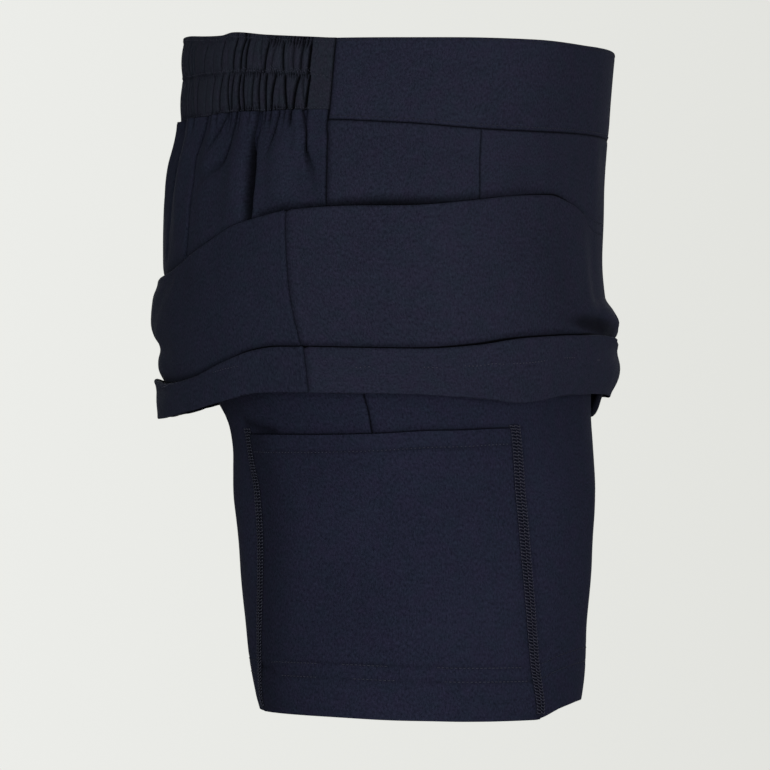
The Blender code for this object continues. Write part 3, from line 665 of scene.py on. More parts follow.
CREASES_BACK = [
    crease(*YOKE, (55.4, -19, -3.4, 1.8), (54.7, -23, -4.6, 2.1), (54.6, -32, -5.2, 2.6),
        (54.2, -39, -5.6, 3.0), (54.7, -47, -5.8, 3.8), (55.3, -55, -5.8, 4.3),
        (55.7, -64, -5.8, 4.4), (55.8, -75, -5.4, 4.3), (55.7, -86, -2.6, 3.8)),
    crease(*YOKE, (67.1, -21, -2.8, 0.7), (68.8, -28, -3.6, 0.8), (69.7, -36, -3.6, 0.8),
        (70.6, -45, -3.0, 1.2), (71.7, -50, -2.4, 2.2), (72.9, -56, -1.8, 2.8),
        (74.2, -66, -0.6, 3.0)),
    crease(*YOKE, (66.0, -26, 0.9, 1.4), (67.6, -34, 1.3, 1.6), (68.2, -46, 1.1, 2.2)),
    crease(*YOKE, (46.2, -19, -2.6, 1.0), (46.0, -32, -2.8, 1.1), (46.2, -40, -3.0, 1.5),
        (45.2, -47, -3.0, 2.2), (43.2, -51, -2.6, 2.8), (39.6, -55, -2.0, 3.4),
        (35.5, -59, -1.0, 4.0)),
    crease(*YOKE, (33.4, -19, -3.2, 1.6), (32.3, -30, -3.8, 2.2), (31.3, -36, -3.6, 2.3),
        (31.0, -45, -2.6, 1.6), (32.5, -60, -2.0, 1.3), (32.3, -73, -1.9, 1.3),
        (32.2, -85, -2.0, 1.3), (31.0, -98, -2.0, 1.6)),
    crease(*YOKE, (42.4, -20, -2.2, 1.0), (40.6, -31, -2.8, 1.7), (39.0, -37, -2.4, 2.0),
        (37.4, -43, -1.0, 2.2)),
    crease(*YOKE, (61.8, -19, -2.8, 0.9), (61.4, -28, -3.0, 1.1), (60.6, -36, -2.6, 1.4),
        (59.8, -44, -1.2, 1.9)),
    crease(*YOKE, (63.6, -19, -2.4, 0.8), (65.0, -31, -1.2, 1.3)),
    crease(*YOKE, (36.8, -19, -2.6, 1.0), (36.0, -30, -1.4, 1.4)),
    crease(*YOKE, (17.6, -30, -1.6, 1.8), (18.2, -50, -2.4, 1.9), (17.3, -75, -1.8, 2.0),
        (16.0, -98, -1.2, 2.4)),
    crease(*YOKE, (0.6, -26, -1.4, 1.4), (-0.8, -48, -2.0, 1.8), (0.4, -76, -0.8, 2.4)),
    crease(*YOKE, (64.0, -46, 1.4, 8.0), (65.0, -62, 2.0, 9.0)),
    crease(*YOKE, (59.5, -78, -2.6, 3.6), (66.0, -76, -3.4, 4.6), (73.2, -76, -2.0, 3.0)),
    crease(2, 3, (-24, -112, -0.5, 5.0), (-4, -146, -0.7, 6.0), (14, -158, -0.4, 7.0)),
    crease(2, 3, (14, -128, -0.4, 6.0), (34, -140, -0.7, 7.0), (58, -136, -0.3, 8.0))]
CREASES_FRONT = [
    crease(2, 3, (96, -98, -0.35, 8.0), (120, -108, -0.5, 9.0), (140, -96, -0.3, 7.0)),
    crease(2, 3, (104, -126, -0.4, 7.0), (124, -118, -0.5, 7.0), (146, -120, -0.4, 6.0)),
    crease(2, 3, (138, -133, -1.2, 3.0), (146, -134.5, -3.6, 5.0), (156, -136, -4.6, 6.0),
        (168, -139, -3.4, 5.0), (177, -141, -1.6, 4.0)),
    crease(4, 6, (143.5, -147, -0.35, 0.8), (143.9, -158, -0.45, 0.8), (143.7, -168, -0.2, 0.8))]
CREASE_POWER = 3.0        # how flat a crease's floor is and how steep its sides
LEFT_STRENGTH, LEFT_SHIFT = 0.85, 0.9    # the creases of the wearer's left, in depth and degrees
# Painted shade in a crease: how dark it gets, the depth where that starts and the depth it takes.
CREASE_DARK, CREASE_DARK_FROM, CREASE_DARK_OVER = 0.82, 1.0, 3.6
SHORT_GATHERS = 1.1       # depth of the casing's gathers below it, as a share of their own


def nearest_on(places, u, z):
    """Distance in millimetres from points on the cloth to a line through the places, each an
    angle, a height and further columns, and those columns where the line is nearest."""
    best = np.full(np.broadcast(u, z).shape, 1e9)
    found = [np.zeros(best.shape) for _ in places[0][2:]]
    for a, b in zip(places, places[1:]):
        du, dz = (b[0] - a[0]) * DEGREE, b[1] - a[1]
        across, up = u - a[0] * DEGREE, z - a[1]
        t = np.clip((across * du + up * dz) / (du * du + dz * dz), 0, 1)
        away = np.hypot(across - t * du, up - t * dz)
        nearer = away < best
        best = np.where(nearer, away, best)
        found = [np.where(nearer, mix(low, high, t), before)
                 for low, high, before in zip(a[2:], b[2:], found)]
    return best, found


def crease_relief(around, z, stage, creases):
    """How far the creases of its own layer move each point in or out."""
    total = np.zeros(np.broadcast(around, z).shape)
    u = half_turn(around) * np.sign(np.sin(np.radians(around)) + 1e-9) * DEGREE
    for line in creases:
        on_layer = (stage >= line.start) & (stage < line.end)
        for strength, at in ((1.0, u), (LEFT_STRENGTH, -u + LEFT_SHIFT * DEGREE)):
            away, (out, width) = nearest_on(line.places, at, z)
            total += strength * out * np.exp(-(away / width) ** CREASE_POWER) * on_layer
    return total


def short_gathers(around, z):
    """Gathers that run out of the casing into the top of the back skirt."""
    fade = ease((z + 37) / 14)
    folds = np.zeros(np.broadcast(around, z).shape)
    for g in all_gathers(LOWER_GATHERS, 4):
        folds -= SHORT_GATHERS * g.depth * bell(around - g.foot, GATHER_WIDTH * 1.25)
    return folds * fade * ease((GATHER_END + 0.6 - half_turn(around)) / 0.9)


DART, DART_LEVEL = 110.8, -44.5   # angle of the front dart at that height
DART_LEAN = -0.0465       # degrees that it moves forward in each millimetre
DART_END = -84            # it runs from the waistband's seam to this height, past the fold
DART_DIP, DART_DARK = 0.6, 0.6            # how deep its seam lies, and how dark its line with painted shade is
DART_RIDGE, DART_RIDGE_AT = 0.25, 1.6     # the pressed allowance stands out beside it

# Finer swells of the folded skirt where its outline shows: height and how far out, at centre
# back and at centre front.
SWELLS_BACK = table_of(
    "z out",
    (-200, -1.6), (-186, -2.4), (-172, -3.4), (-164, -1.8), (-158, -0.8), (-154, -1.2),
    (-148, -3.2), (-141, -0.6), (-134, 1.4), (-121, 2.4), (-113, 0.6), (-105, -0.4))
SWELLS_FRONT = table_of(
    "z out",
    (-190, 0), (-176, 0), (-167, 1.4), (-158, 0.2), (-149, -2.0), (-144.5, -0.6), (-141, 4.8),
    (-134, 6.2), (-128, 4.0), (-120, 0))


def fold_heights(around):
    """Heights of the lifted fold and of the tuck at each column."""
    drop = far_side_drop(around)
    fold = read(LIFTS, half_turn(around)).fold - drop
    tuck = read(LIFTS, half_turn(swung(around, 4))).tuck - drop
    return fold, tuck


# The front's layers lie closer together towards where the lifted fold dies.
SQUEEZE = 0.4
SQUEEZE_START, SQUEEZE_END = 116, 142
# Soft shade that the lifted fold casts: how dark, and its angle and half width.
FOLD_SHADE, FOLD_SHADE_AT, FOLD_SHADE_WIDTH = 0.9, 80, 30
SKIRT_WAVES, SKIRT_WAVE_LENGTH = 0.45, 46
SKIRT_SEAM_DIP, HEM_ROW_DIP = 0.8, 0.12   # how deep the side seams and the hem's stitches lie
SEAM_RIDGE, SEAM_RIDGE_AT = 0.3, 2.2      # the allowance stands out beside a side seam


def painted_fold_shade(around, z, stage, pressed):
    """Painted shade where the cloth goes in behind the lifted fold and behind the tuck."""
    fold, tuck = fold_heights(around)
    above_fold, above_tuck = z - fold - CLOTH / 2, z - tuck - CLOTH / 2
    shade = FOLD_SHADE * bell(half_turn(around) - FOLD_SHADE_AT, FOLD_SHADE_WIDTH)
    behind_fold = np.maximum(ease((1.3 - above_fold) / 0.8),
                             shade * ease((8.0 - above_fold) / 7.6))
    behind_tuck = np.maximum(ease((1.2 - above_tuck) / 0.8), 0.1 * ease((3.0 - above_tuck) / 3.0))
    return behind_fold * (stage < 0.97) * pressed + behind_tuck * (stage > 2.02) * (stage < 2.99)


def soft_waves(around, place, z, stage, pressed):
    """Slow waves of each layer, drawn in at the lifted fold and at the tuck."""
    u, layer = place * DEGREE, np.floor(stage)
    fold, tuck = fold_heights(around)
    apart = np.where(layer > 2, 1.0, np.clip(pressed, 0, 1))
    waves = mix(drift(u, z, SKIRT_WAVE_LENGTH, seed=21),
                drift(u, z + 300 * layer, SKIRT_WAVE_LENGTH, seed=21), apart)
    soft = SKIRT_WAVES * waves * ease(stage * 4) * ease((5.2 - stage) * 3)
    soft = soft * np.where(layer == 4, 0.7, 1.0)
    soft = soft - 1.2 * bell(z - fold, 5.0) * (stage < 0.95) * pressed
    return soft - 0.5 * bell(z - tuck, 2.5) * (stage > 2) * (stage < 2.97)


def skirt_shell(around, top_of, back):
    out, z, stage = skirt_path(around, top_of(swung(around, 0)))
    place = swung(around, stage)
    creases = crease_relief(place, z, stage, CREASES_BACK if back else CREASES_FRONT)
    folds = flute_height(place, z) * ease((1 - stage) / (1 - FLUTES_FADE)) + creases
    if back:
        gathers = short_gathers(place, z) * (stage < YOKE[1])
        folds, creases = folds + gathers, creases + 1.1 * gathers
        swell = read(SWELLS_BACK, z).out * ease((40 - half_turn(place)) / 34)
    else:
        swell = read(SWELLS_FRONT, z).out * ease((half_turn(place) - 143) / 22)
    pressed = 1 - read(LIFTS, half_turn(around)).open
    soft = soft_waves(around, place, z, stage, pressed)
    squeezed = ease((half_turn(around) - SQUEEZE_START) / (SQUEEZE_END - SQUEEZE_START))
    out = out * (1 - SQUEEZE * squeezed * ease((2.75 - stage) / 0.75))
    outer_layers = ease((stage - 1.9) / 0.2)
    middle = hip_points(place, z, out + folds + soft + swell * outer_layers)
    edges = edge_distances(middle)
    seam = np.minimum(edges.left, edges.right)
    relief = groove(seam, SKIRT_SEAM_DIP) + SEAM_RIDGE * bell(seam - SEAM_RIDGE_AT, 1.2)
    relief = relief + groove(edges.bottom - hem_row(place[-1:]), HEM_ROW_DIP) * (stage >= 4)
    # Painted shade in the creases and behind the lifted fold and the tuck.
    ditch = CREASE_DARK * ease((-creases - CREASE_DARK_FROM) / CREASE_DARK_OVER)
    ditch = np.maximum(ditch, painted_fold_shade(around, z, stage, pressed))
    # The side seams' and waist seam's dark lines, with painted shade in their grooves.
    ditch = np.maximum(ditch, np.where(stage < 0.97, SEAM_DARK * bell(seam, 0.6),
                                       0.5 * bell(seam, 0.45)))
    if back:
        return shell_of(middle, CLOTH, relief, ditch, ("bottom", "left", "right"))
    relief = relief + groove(edges.top, SEAM_DIP)
    ditch = np.maximum(ditch, 0.8 * bell(edges.top, SEAM_DARK_REACH))
    dart = (half_turn(place) - DART - DART_LEAN * (z - DART_LEVEL)) * DEGREE
    on_dart = (stage < YOKE[1]) * ease((z - DART_END) / 8)
    ridge = DART_RIDGE * bell(dart + DART_RIDGE_AT, 1.1)
    relief = relief + (groove(dart, DART_DIP, 0.6) + ridge) * on_dart
    ditch = np.maximum(ditch, DART_DARK * bell(dart, 0.5) * on_dart)
    return shell_of(middle, CLOTH, relief, ditch)


HEM_ROWS = table_of(
    "around up",
    (0, 18), (60, 16), (85, 14.2), (97, 14.6), (108, 17), (115, 19.8), (120, 21.5), (134, 20.6),
    (150, 18.8), (180, 18))


def hem_row(around):
    """How far up from its edge the skirt's hem is stitched."""
    return read(HEM_ROWS, half_turn(around)).up


def back_columns():
    edge = SIDE_SEAM_FOLD - half_gap(HIP_RADIUS)
    even_ones = even((0, 22, 32), (22, 60, 104))
    return both_sides(np.concatenate([even_ones, spaced(60, edge, 26, 0.32)[4:]]))


def back_skirt():
    return skirt_shell(back_columns(), back_top, True)


def front_columns():
    start = SIDE_SEAM_FOLD + half_gap(HIP_RADIUS)
    even_ones = even((102.4, 106.2, 22), (106.2, 147, 50), (147, 160, 28), (160, 180, 24))
    half = np.concatenate([spaced(start, 102.4, 36, 0.32)[:-4], even_ones, [180]])
    return np.concatenate([half, 360 - half[-2::-1]])


def front_skirt():
    return skirt_shell(front_columns(), front_top, False)


def front_top(around):
    return read(BAND_FRONT, half_turn(around)).bottom - SEAM_GAP


def back_top(around):
    return read(BAND_BACK, half_turn(around)).bottom - SEAM_GAP


# ---- shorts ----------------------------------------------------------------------------------
LEG_HEM_ROWS = (21.2, 28.6)       # twin needle rows, up from the leg's edge
FLATLOCK = 3.1                    # from the pocket's seam to the outer needle rows
SEAM_CURVE = 1.2                  # degrees that the side seam curves forward above the pocket
POCKET_ROWS = (10.0, 8.4)         # the pocket's hem stitches below its top edge, back and front
UNDER_SKIRT = (-34, -125)         # the shorts lie closer to the body between these hidden heights
UNDER_SKIRT_DIP = 3.0
LEG_WAVES, LEG_WAVE_LENGTH = 0.45, 52
LEG_WAVES_TOP = -160      # the leg's slow waves start below this height
LEG_SEAM_DIP = 0.6        # how deep the leg's seams lie
LEG_ROW_DIP, POCKET_LEG_ROW_DIP = 0.2, 0.22    # the same for its hem's rows, off and on the pocket
LEG_GROOVE = 0.7          # half width of the grooves at its seams and rows
FLATLOCK_DARK = 0.45      # painted shade on the cloth between the needle rows of a pocket's seam


def leg_heights(around, level):
    """The heights of level rows at places round the leg."""
    tilt = read(TILTS, around)
    near_pocket = ease(1 - np.abs(level - POCKET_TOP) / POCKET_TILT_REACH)
    near_hem = ease((level - CROTCH_ROW) / (LEG_HEM - CROTCH_ROW))
    return level + tilt.pocket * near_pocket + tilt.hem * near_hem


def leg_seam(level):
    """Angle of the shorts' side seam: under the waistband's at the top, further forward below."""
    top, bottom = SEAM_MOVES
    curve = SEAM_CURVE * ease((level - POCKET_TOP) / 24) * ease((level - top) / (bottom - top))
    return mix(SIDE_SEAM_BAND, SIDE_SEAM_LEG, ease((level - top) / (bottom - top))) + curve


def centre_angle(level, front):
    """Where the outer side of the wall meets the centre plane, less half a seam gap."""
    low = np.full(level.shape, 180.0 if front else 0.0)
    high = np.full(level.shape, 270.0 if front else -90.0)
    for _ in range(40):
        middle = (low + high) / 2
        inside = leg_points(middle, level, THIN_EDGE * CLOTH / 2)[..., 0] < -SIDE_GAP / 2
        low, high = np.where(inside, middle, low), np.where(inside, high, middle)
    return low


def leg_levels():
    """Levels of the rows down a leg, closer where the legs part and at both edges."""
    stretches = [spaced(FIRST_LEG_ROW, -44, 8, 0.6)[:-4], np.linspace(-44, -187.5, 36),
                 np.linspace(-188.5, POCKET_TOP - 1, 16), np.linspace(-196, -240, 24),
                 spaced(-243, LEG_HEM, 44, 0.6)[4:]]
    return np.concatenate(stretches)[:, None]


LEG_DEGREE = 1.55         # millimetres of cloth in a degree of a leg, at the pocket's seams
LEG_DRIFT_DEGREE = 1.7    # the same for the leg's slow waves
# Painted shadow of a fold, which is not drawn, on the leg above the pocket's back corner:
# angles and heights along it.
CORNER_SHADE = ((29, -187.0), (33, -188.6), (38, -190.6), (44, -192.4))
CORNER_DARK, CORNER_DARK_REACH = 0.6, 3.4    # how dark it is, and the half width of that


def leg_shell(front):
    """One panel of the right leg, from the back towards the front."""
    sign = 1 if front else -1
    level = leg_levels()
    gap = half_gap(LEG_RADIUS)
    seam = leg_seam(level) + sign * gap
    edges = read(POCKET_EDGES, level)
    pocket_seam = edges.front if front else edges.back
    inseam = (270 if front else -90) - sign * gap
    inner = np.where(level <= CROTCH_ROW, inseam, centre_angle(level, front))
    covered = spaced(0, 1, 30, 0.012)[:-4]
    beyond = np.append(np.linspace(0, 0.985, 46), [0.992, 0.997, 1])
    around = np.concatenate([mix(seam, pocket_seam, covered),
                             mix(pocket_seam, inner, beyond)], axis=1)
    top = (front_top if front else back_top)(around)
    share = np.clip((FIRST_LEG_ROW - level) / (FIRST_LEG_ROW - SECOND_LEG_ROW), 0, 1)
    heights = np.where(level > SECOND_LEG_ROW, mix(top, SECOND_LEG_ROW, share),
                       leg_heights(around, level))
    lower = ease((LEG_WAVES_TOP - heights) / 30)
    waves = drift(around * LEG_DRIFT_DEGREE, heights, LEG_WAVE_LENGTH, seed=31)
    soft = LEG_WAVES * waves * lower
    soft = soft * ease((heights - LEG_HEM) / 20 + 0.3)
    high, low = UNDER_SKIRT
    hidden = ease((high - heights) / 18) * ease((heights - low) / 18)
    past = (around - pocket_seam) * sign * LEG_DEGREE
    soft = soft * ease(past / 12) * ease(np.abs(inner - around) * LEG_DEGREE / 12)
    middle = leg_points(around, heights, soft - UNDER_SKIRT_DIP * hidden)
    # Painted shadow on the leg along the pocket's top edge.
    above_pocket = (level - POCKET_TOP) * np.where(past < 0, 1, 99)
    pocket_line = 0.55 * ease((1.1 - above_pocket) / 0.8) * (past < 0.5) * ease((-0.8 - past) / 2)
    corner = 0.0
    if not front:
        away, _ = nearest_on(CORNER_SHADE, around * DEGREE, heights)
        corner = CORNER_DARK * bell(away, CORNER_DARK_REACH)[:, ::-1]
        middle, past, pocket_line = middle[:, ::-1], past[:, ::-1], pocket_line[:, ::-1]
    distance = edge_distances(middle)
    seam = np.minimum(distance.left, distance.right)
    relief = groove(seam, LEG_SEAM_DIP, LEG_GROOVE) + 0.2 * bell(seam - 2.0, 1.2)
    for row in LEG_HEM_ROWS:
        relief = relief + groove(distance.bottom - row, LEG_ROW_DIP, LEG_GROOVE)
    on_pocket = level < POCKET_TOP + 2
    raised = ease((past - 0.6) / 0.8) * (1 - ease((past - 3.2) / 1.6)) * on_pocket
    # Seam lines with painted shade in their grooves; painted shade at the corner and by the
    # pocket.
    ditch = np.maximum(SEAM_DARK * bell(seam, 0.65), corner)
    beside_pocket = FLATLOCK_DARK * bell(past, FLATLOCK) * on_pocket
    ditch = np.maximum(ditch, np.maximum(pocket_line, beside_pocket))
    return shell_of(middle, CLOTH, relief + 0.5 * raised, ditch)


POCKET_COLUMNS = spaced(0, 1, 96, 0.006)
# A short dent between the hem's rows near the pocket's back seam: angles and heights along it.
HEM_NICK = ((20, -315.4), (26, -316.6), (33, -318.6))
NICK_DEPTH, NICK_WIDTH = 1.1, 1.9         # its depth and half width
POCKET_BULGE, POCKET_WAVES, POCKET_WAVE_LENGTH = 0.9, 0.5, 48
POCKET_GAPE = 0.7         # how far the middle of the open edge stands off the leg
POCKET_ROW_DIP = 0.25


def pocket_shell():
    """The right thigh pocket, laid on the leg."""
    level = spaced(POCKET_TOP, LEG_HEM, 90, 0.6)[:, None]
    edges = read(POCKET_EDGES, level)
    around = mix(edges.back, edges.front, POCKET_COLUMNS)
    heights = leg_heights(around, level)
    clear = CLOTH / 2 + SEAM_GAP + CLOTH / 2
    distance = edge_distances(leg_points(around, heights, clear))
    side = np.minimum(distance.left, distance.right)
    slack = ease(side / 30) * ease(distance.bottom / 40)
    waves = drift(around * LEG_DRIFT_DEGREE, heights, POCKET_WAVE_LENGTH, seed=41)
    bulge = POCKET_BULGE * slack + POCKET_WAVES * waves * slack
    gape = POCKET_GAPE * bell(distance.top, 9) * ease(side / 24)
    middle = leg_points(around, heights, clear + np.maximum(bulge + gape, 0))
    row_below_top = mix(*POCKET_ROWS, POCKET_COLUMNS)
    nick, _ = nearest_on(HEM_NICK, around * DEGREE, heights)
    relief = (groove(side, 0.45, 2.4) + groove(distance.top - row_below_top, POCKET_ROW_DIP)
              + 0.12 * ease((row_below_top - distance.top) / 1.0)
              + groove(distance.top - 0.3, 0.25, 0.5))
    # Painted shade: by the seams, in the dent, on the back part away from the lamps, in the rows.
    ditch = np.maximum(FLATLOCK_DARK * bell(side, FLATLOCK), 0.5 * bell(nick, 2.2))
    ditch = np.maximum(ditch, 0.34 * ease((36 - distance.left) / 30))
    ditch = np.maximum(ditch, 0.3 * bell(distance.top - row_below_top, 0.9))
    for row in LEG_HEM_ROWS:
        relief = relief + groove(distance.bottom - row, POCKET_LEG_ROW_DIP, LEG_GROOVE)
        ditch = np.maximum(ditch, 0.3 * bell(distance.bottom - row, 0.8))
    return shell_of(middle, CLOTH, relief + groove(nick, NICK_DEPTH, NICK_WIDTH), ditch)


# ---- sewing ----------------------------------------------------------------------------------
SIDES = 4                 # sides of a thread
BURIED = 0.32             # how far a stitch's ends go into the cloth
Line = namedtuple("Line", "points normals")


def line_at(shell, distance, edge):
    """The line on the outer side at that distance from an edge, or one distance a column."""
    surface, normal = outer_side(shell), shell.normal
    run = getattr(edge_distances(surface), edge)
    if edge in ("left", "right"):
        surface, normal, run = (np.swapaxes(a, 0, 1) for a in (surface, normal, run))
    if edge in ("bottom", "right"):
        surface, normal, run = surface[::-1], normal[::-1], run[::-1]
    distance = np.broadcast_to(distance, run.shape[1])
    places = np.arange(len(run))
    points, normals = [], []
    for i in range(run.shape[1]):
        at = np.interp(distance[i], run[:, i], places)
        low = min(int(at), len(run) - 2)
        points.append(mix(surface[low, i], surface[low + 1, i], at - low))
        normals.append(mix(normal[low, i], normal[low + 1, i], at - low))
    return Line(np.array(points), unit(np.array(normals)))


def part_of(line, start, end):
    """A stretch of a line, as shares of its points."""
    count = len(line.points)
    cut = slice(int(start * count), int(end * count))
    return Line(line.points[cut], line.normals[cut])


def along(points, run, at):
    return np.stack([np.interp(at, run, points[:, axis]) for axis in range(3)], axis=-1)


def run_of(points):
    return np.concatenate([[0], np.cumsum(np.linalg.norm(np.diff(points, axis=0), axis=1))])


def stitch_row(line, pitch=STITCH, space=STITCH_SPACE, lift=0.06, trim=0.6, keep=None):
    """Stitches along a line: four points each, with both ends in the cloth. `keep` tells from a
    stitch's share of the line whether it shows."""
    run = run_of(line.points)
    starts = np.arange(trim, run[-1] - trim - pitch, pitch)
    if keep:
        starts = np.array([start for start in starts if keep(start / run[-1])])
    at = starts[:, None] + (pitch - space) * np.array([0, 0.2, 0.8, 1])
    height = np.array([-BURIED, lift, lift, -BURIED])
    here, up = along(line.points, run, at), unit(along(line.normals, run, at))
    return here + up * height[None, :, None], up


def bars(line_a, line_b, pitch, lean):
    """Threads that cross from one line to the other, as a looper lays them."""
    run_a, run_b = run_of(line_a.points), run_of(line_b.points)
    count = int(run_a[-1] / pitch) - 1
    share = (np.arange(count) + 0.5) / (count + 1)
    a = along(line_a.points, run_a, share * run_a[-1])[:, None]
    b = along(line_b.points, run_b, share * run_b[-1] + lean * pitch)[:, None]
    up = unit(along(line_a.normals, run_a, share * run_a[-1]))[:, None]
    across = np.array([0, 0.25, 0.75, 1])[None, :, None]
    height = np.array([0.0, 0.22, 0.22, 0.0])[None, :, None]
    return mix(a, b, across) + up * height, np.repeat(up, 4, axis=1)


FLATLOCK_TAILS = (3.8, 2.6)       # how far the seams run above the pocket, back and front
FLATLOCK_PITCH = 1.75


def flatlock(front):
    """A pocket's side seam on the right leg: three needle rows and the looped threads between."""
    tail = FLATLOCK_TAILS[1 if front else 0]
    level = np.linspace(POCKET_TOP + tail, LEG_HEM + 0.8, 200)
    edges = read(POCKET_EDGES, level)
    around, sign = (edges.front, 1) if front else (edges.back, -1)
    heights = leg_heights(around, level)
    on_pocket = ease((POCKET_TOP + 0.6 - level) / 1.2)[:, None]
    clear = CLOTH / 2 + (SEAM_GAP + CLOTH) * on_pocket
    base = leg_points(around, heights, 0)
    normal = unit(leg_points(around, heights, 1) - base)
    beside = leg_points(around + sign * 0.5, heights, 0)
    outward = unit(beside - base)
    rows = [Line(base + outward * offset + normal * height, normal) for offset, height in
            ((-FLATLOCK, clear + 0.28), (0.0, clear + 0.22), (FLATLOCK, CLOTH / 2 + 0.62))]
    threads = [stitch_row(row, pitch=FLATLOCK_PITCH, space=0.5, lift=0.12) for row in rows]
    for a, b in ((rows[0], rows[1]), (rows[1], rows[2])):
        threads += [bars(a, b, FLATLOCK_PITCH, 0.5)]
    return threads


def mirrored_threads(threads):
    flip = np.array([-1, 1, 1])
    return [(points * flip, up * flip) for points, up in threads]


def add_threads(name, threads, material, radius=THREAD):
    """One mesh of short tubes, each along four points."""
    points, up = (np.concatenate(parts) for parts in zip(*threads))
    ahead = unit(points[:, -1] - points[:, 0])[:, None]
    side = unit(np.cross(ahead, up))
    lift = np.cross(side, ahead)
    angles = 2 * math.pi * np.arange(SIDES) / SIDES
    ring = side[:, :, None] * np.cos(angles)[:, None] + lift[:, :, None] * np.sin(angles)[:, None]
    size = radius * np.array([0.55, 1, 1, 0.55])[None, :, None, None]
    corners = (points[:, :, None] + ring * size) * MM
    index = np.arange(len(points) * 4 * SIDES).reshape(len(points), 4, SIDES)
    turned = np.roll(index, -1, axis=2)
    sides = np.stack([index[:, :-1], turned[:, :-1], turned[:, 1:], index[:, 1:]], axis=-1)
    ends = np.concatenate([index[:, 0, ::-1], index[:, -1]])
    faces = sides.reshape(-1, 4)[:, ::-1].tolist() + ends[:, ::-1].tolist()
    mesh = bpy.data.meshes.new(name)
    mesh.from_pydata(corners.reshape(-1, 3).tolist(), [], faces)
    mesh.shade_smooth()
    return add_object(name, mesh, material)


# ---- materials -------------------------------------------------------------------------------
def node(tree, kind, **settings):
    made = tree.nodes.new(kind)
    for key, value in settings.items():
        if key in made.inputs:
            made.inputs[key].default_value = value
        else:
            setattr(made, key, value)
    return made


def new_material(name):
    material = bpy.data.materials.new(name)
    material.use_nodes = True
    return material, material.node_tree


def set_inputs(shader, settings):
    for key, value in settings.items():
        shader.inputs[key].default_value = value


def mapped(tree, value, low, high, to_low=0.0, to_high=1.0):
    """The value moved from the range between low and high to the other one, and kept in it."""
    made = node(tree, "ShaderNodeMapRange")
    set_inputs(made, {"From Min": low, "From Max": high, "To Min": to_low, "To Max": to_high})
    tree.links.new(value, made.inputs["Value"])
    return made.outputs["Result"]


def blend(tree, share, first, last, places=(0.0, 1.0)):
    """A colour between the first and the last, by the share."""
    made = node(tree, "ShaderNodeValToRGB")
    for stop, colour, place in zip(made.color_ramp.elements, (first, last), places):
        stop.position, stop.color = place, (*colour, 1)
    tree.links.new(share, made.inputs["Fac"])
    return made.outputs["Color"]


def noise(tree, vector, scale, detail, rough=0.5):
    made = node(tree, "ShaderNodeTexNoise", Scale=scale, Detail=detail, Roughness=rough)
    tree.links.new(vector, made.inputs["Vector"])
    return made.outputs["Fac"]


def add_up(tree, terms):
    """The sum of (socket, factor) pairs."""
    total = None
    for socket, factor in terms:
        made = node(tree, "ShaderNodeMath", operation="MULTIPLY_ADD")
        made.inputs[1].default_value, made.inputs[2].default_value = factor, 0.0
        tree.links.new(socket, made.inputs[0])
        if total is not None:
            tree.links.new(total, made.inputs[2])
        total = made.outputs[0]
    return total


def occlusion(tree, reach, darkest, power):
    """Painted shade from ambient occlusion: a factor that falls from 1 in the open to `darkest`
    deep in a fold.
    """
    hidden = node(tree, "ShaderNodeAmbientOcclusion", samples=6, Distance=reach)
    steeper = node(tree, "ShaderNodeMath", operation="POWER")
    steeper.inputs[1].default_value = power
    tree.links.new(hidden.outputs["AO"], steeper.inputs[0])
    return mapped(tree, steeper.outputs[0], 0.0, 1.0, darkest, 1.0)


def darkened_by_seams_and_shade(tree, colour, darkest):
    """The colour, falling to that share of it where seam lines and painted shade are deepest."""
    depth = node(tree, "ShaderNodeAttribute", attribute_name="ditch")
    return scaled(tree, colour, mapped(tree, depth.outputs["Fac"], 0.0, 1.0, 1.0, darkest))


def scaled(tree, colour, factor):
    made = node(tree, "ShaderNodeVectorMath", operation="SCALE")
    tree.links.new(colour, made.inputs[0])
    tree.links.new(factor, made.inputs["Scale"])
    return made.outputs["Vector"]


# Noises of the knit, with their shares of the shade and of the height.
GRAINS = table_of(
    "scale detail rough shade height along_wales",
    (1350.0, 1.0, 0.6, 0.7, 0.7, True), (640.0, 3.0, 0.75, 0.95, 0.5, False),
    (150.0, 3.0, 0.6, 0.2, 1.2, False), (16.0, 2.0, 0.5, 0.2, 0.0, False))
WALE_STRETCH = 0.4        # the finest noise is stretched along the wales by this scale
SHADE_RANGE = (0.76, 1.28)                # sums of the noises that give dark and light yarn
HUE_SCALE = 88.0
GREEN_TINT, RED_TINT = (0.86, 0.97, 0.93), (1.0, 0.92, 0.98)
TINT_PLACES = (0.36, 0.64)                # values of that noise that give the two tints
DARKEST_SEAM_AND_SHADE = 0.1         # share of the colour left where seam lines and painted shade are deepest
TWIST_SCALE = 2600.0      # size of the noise that gives a thread its twist


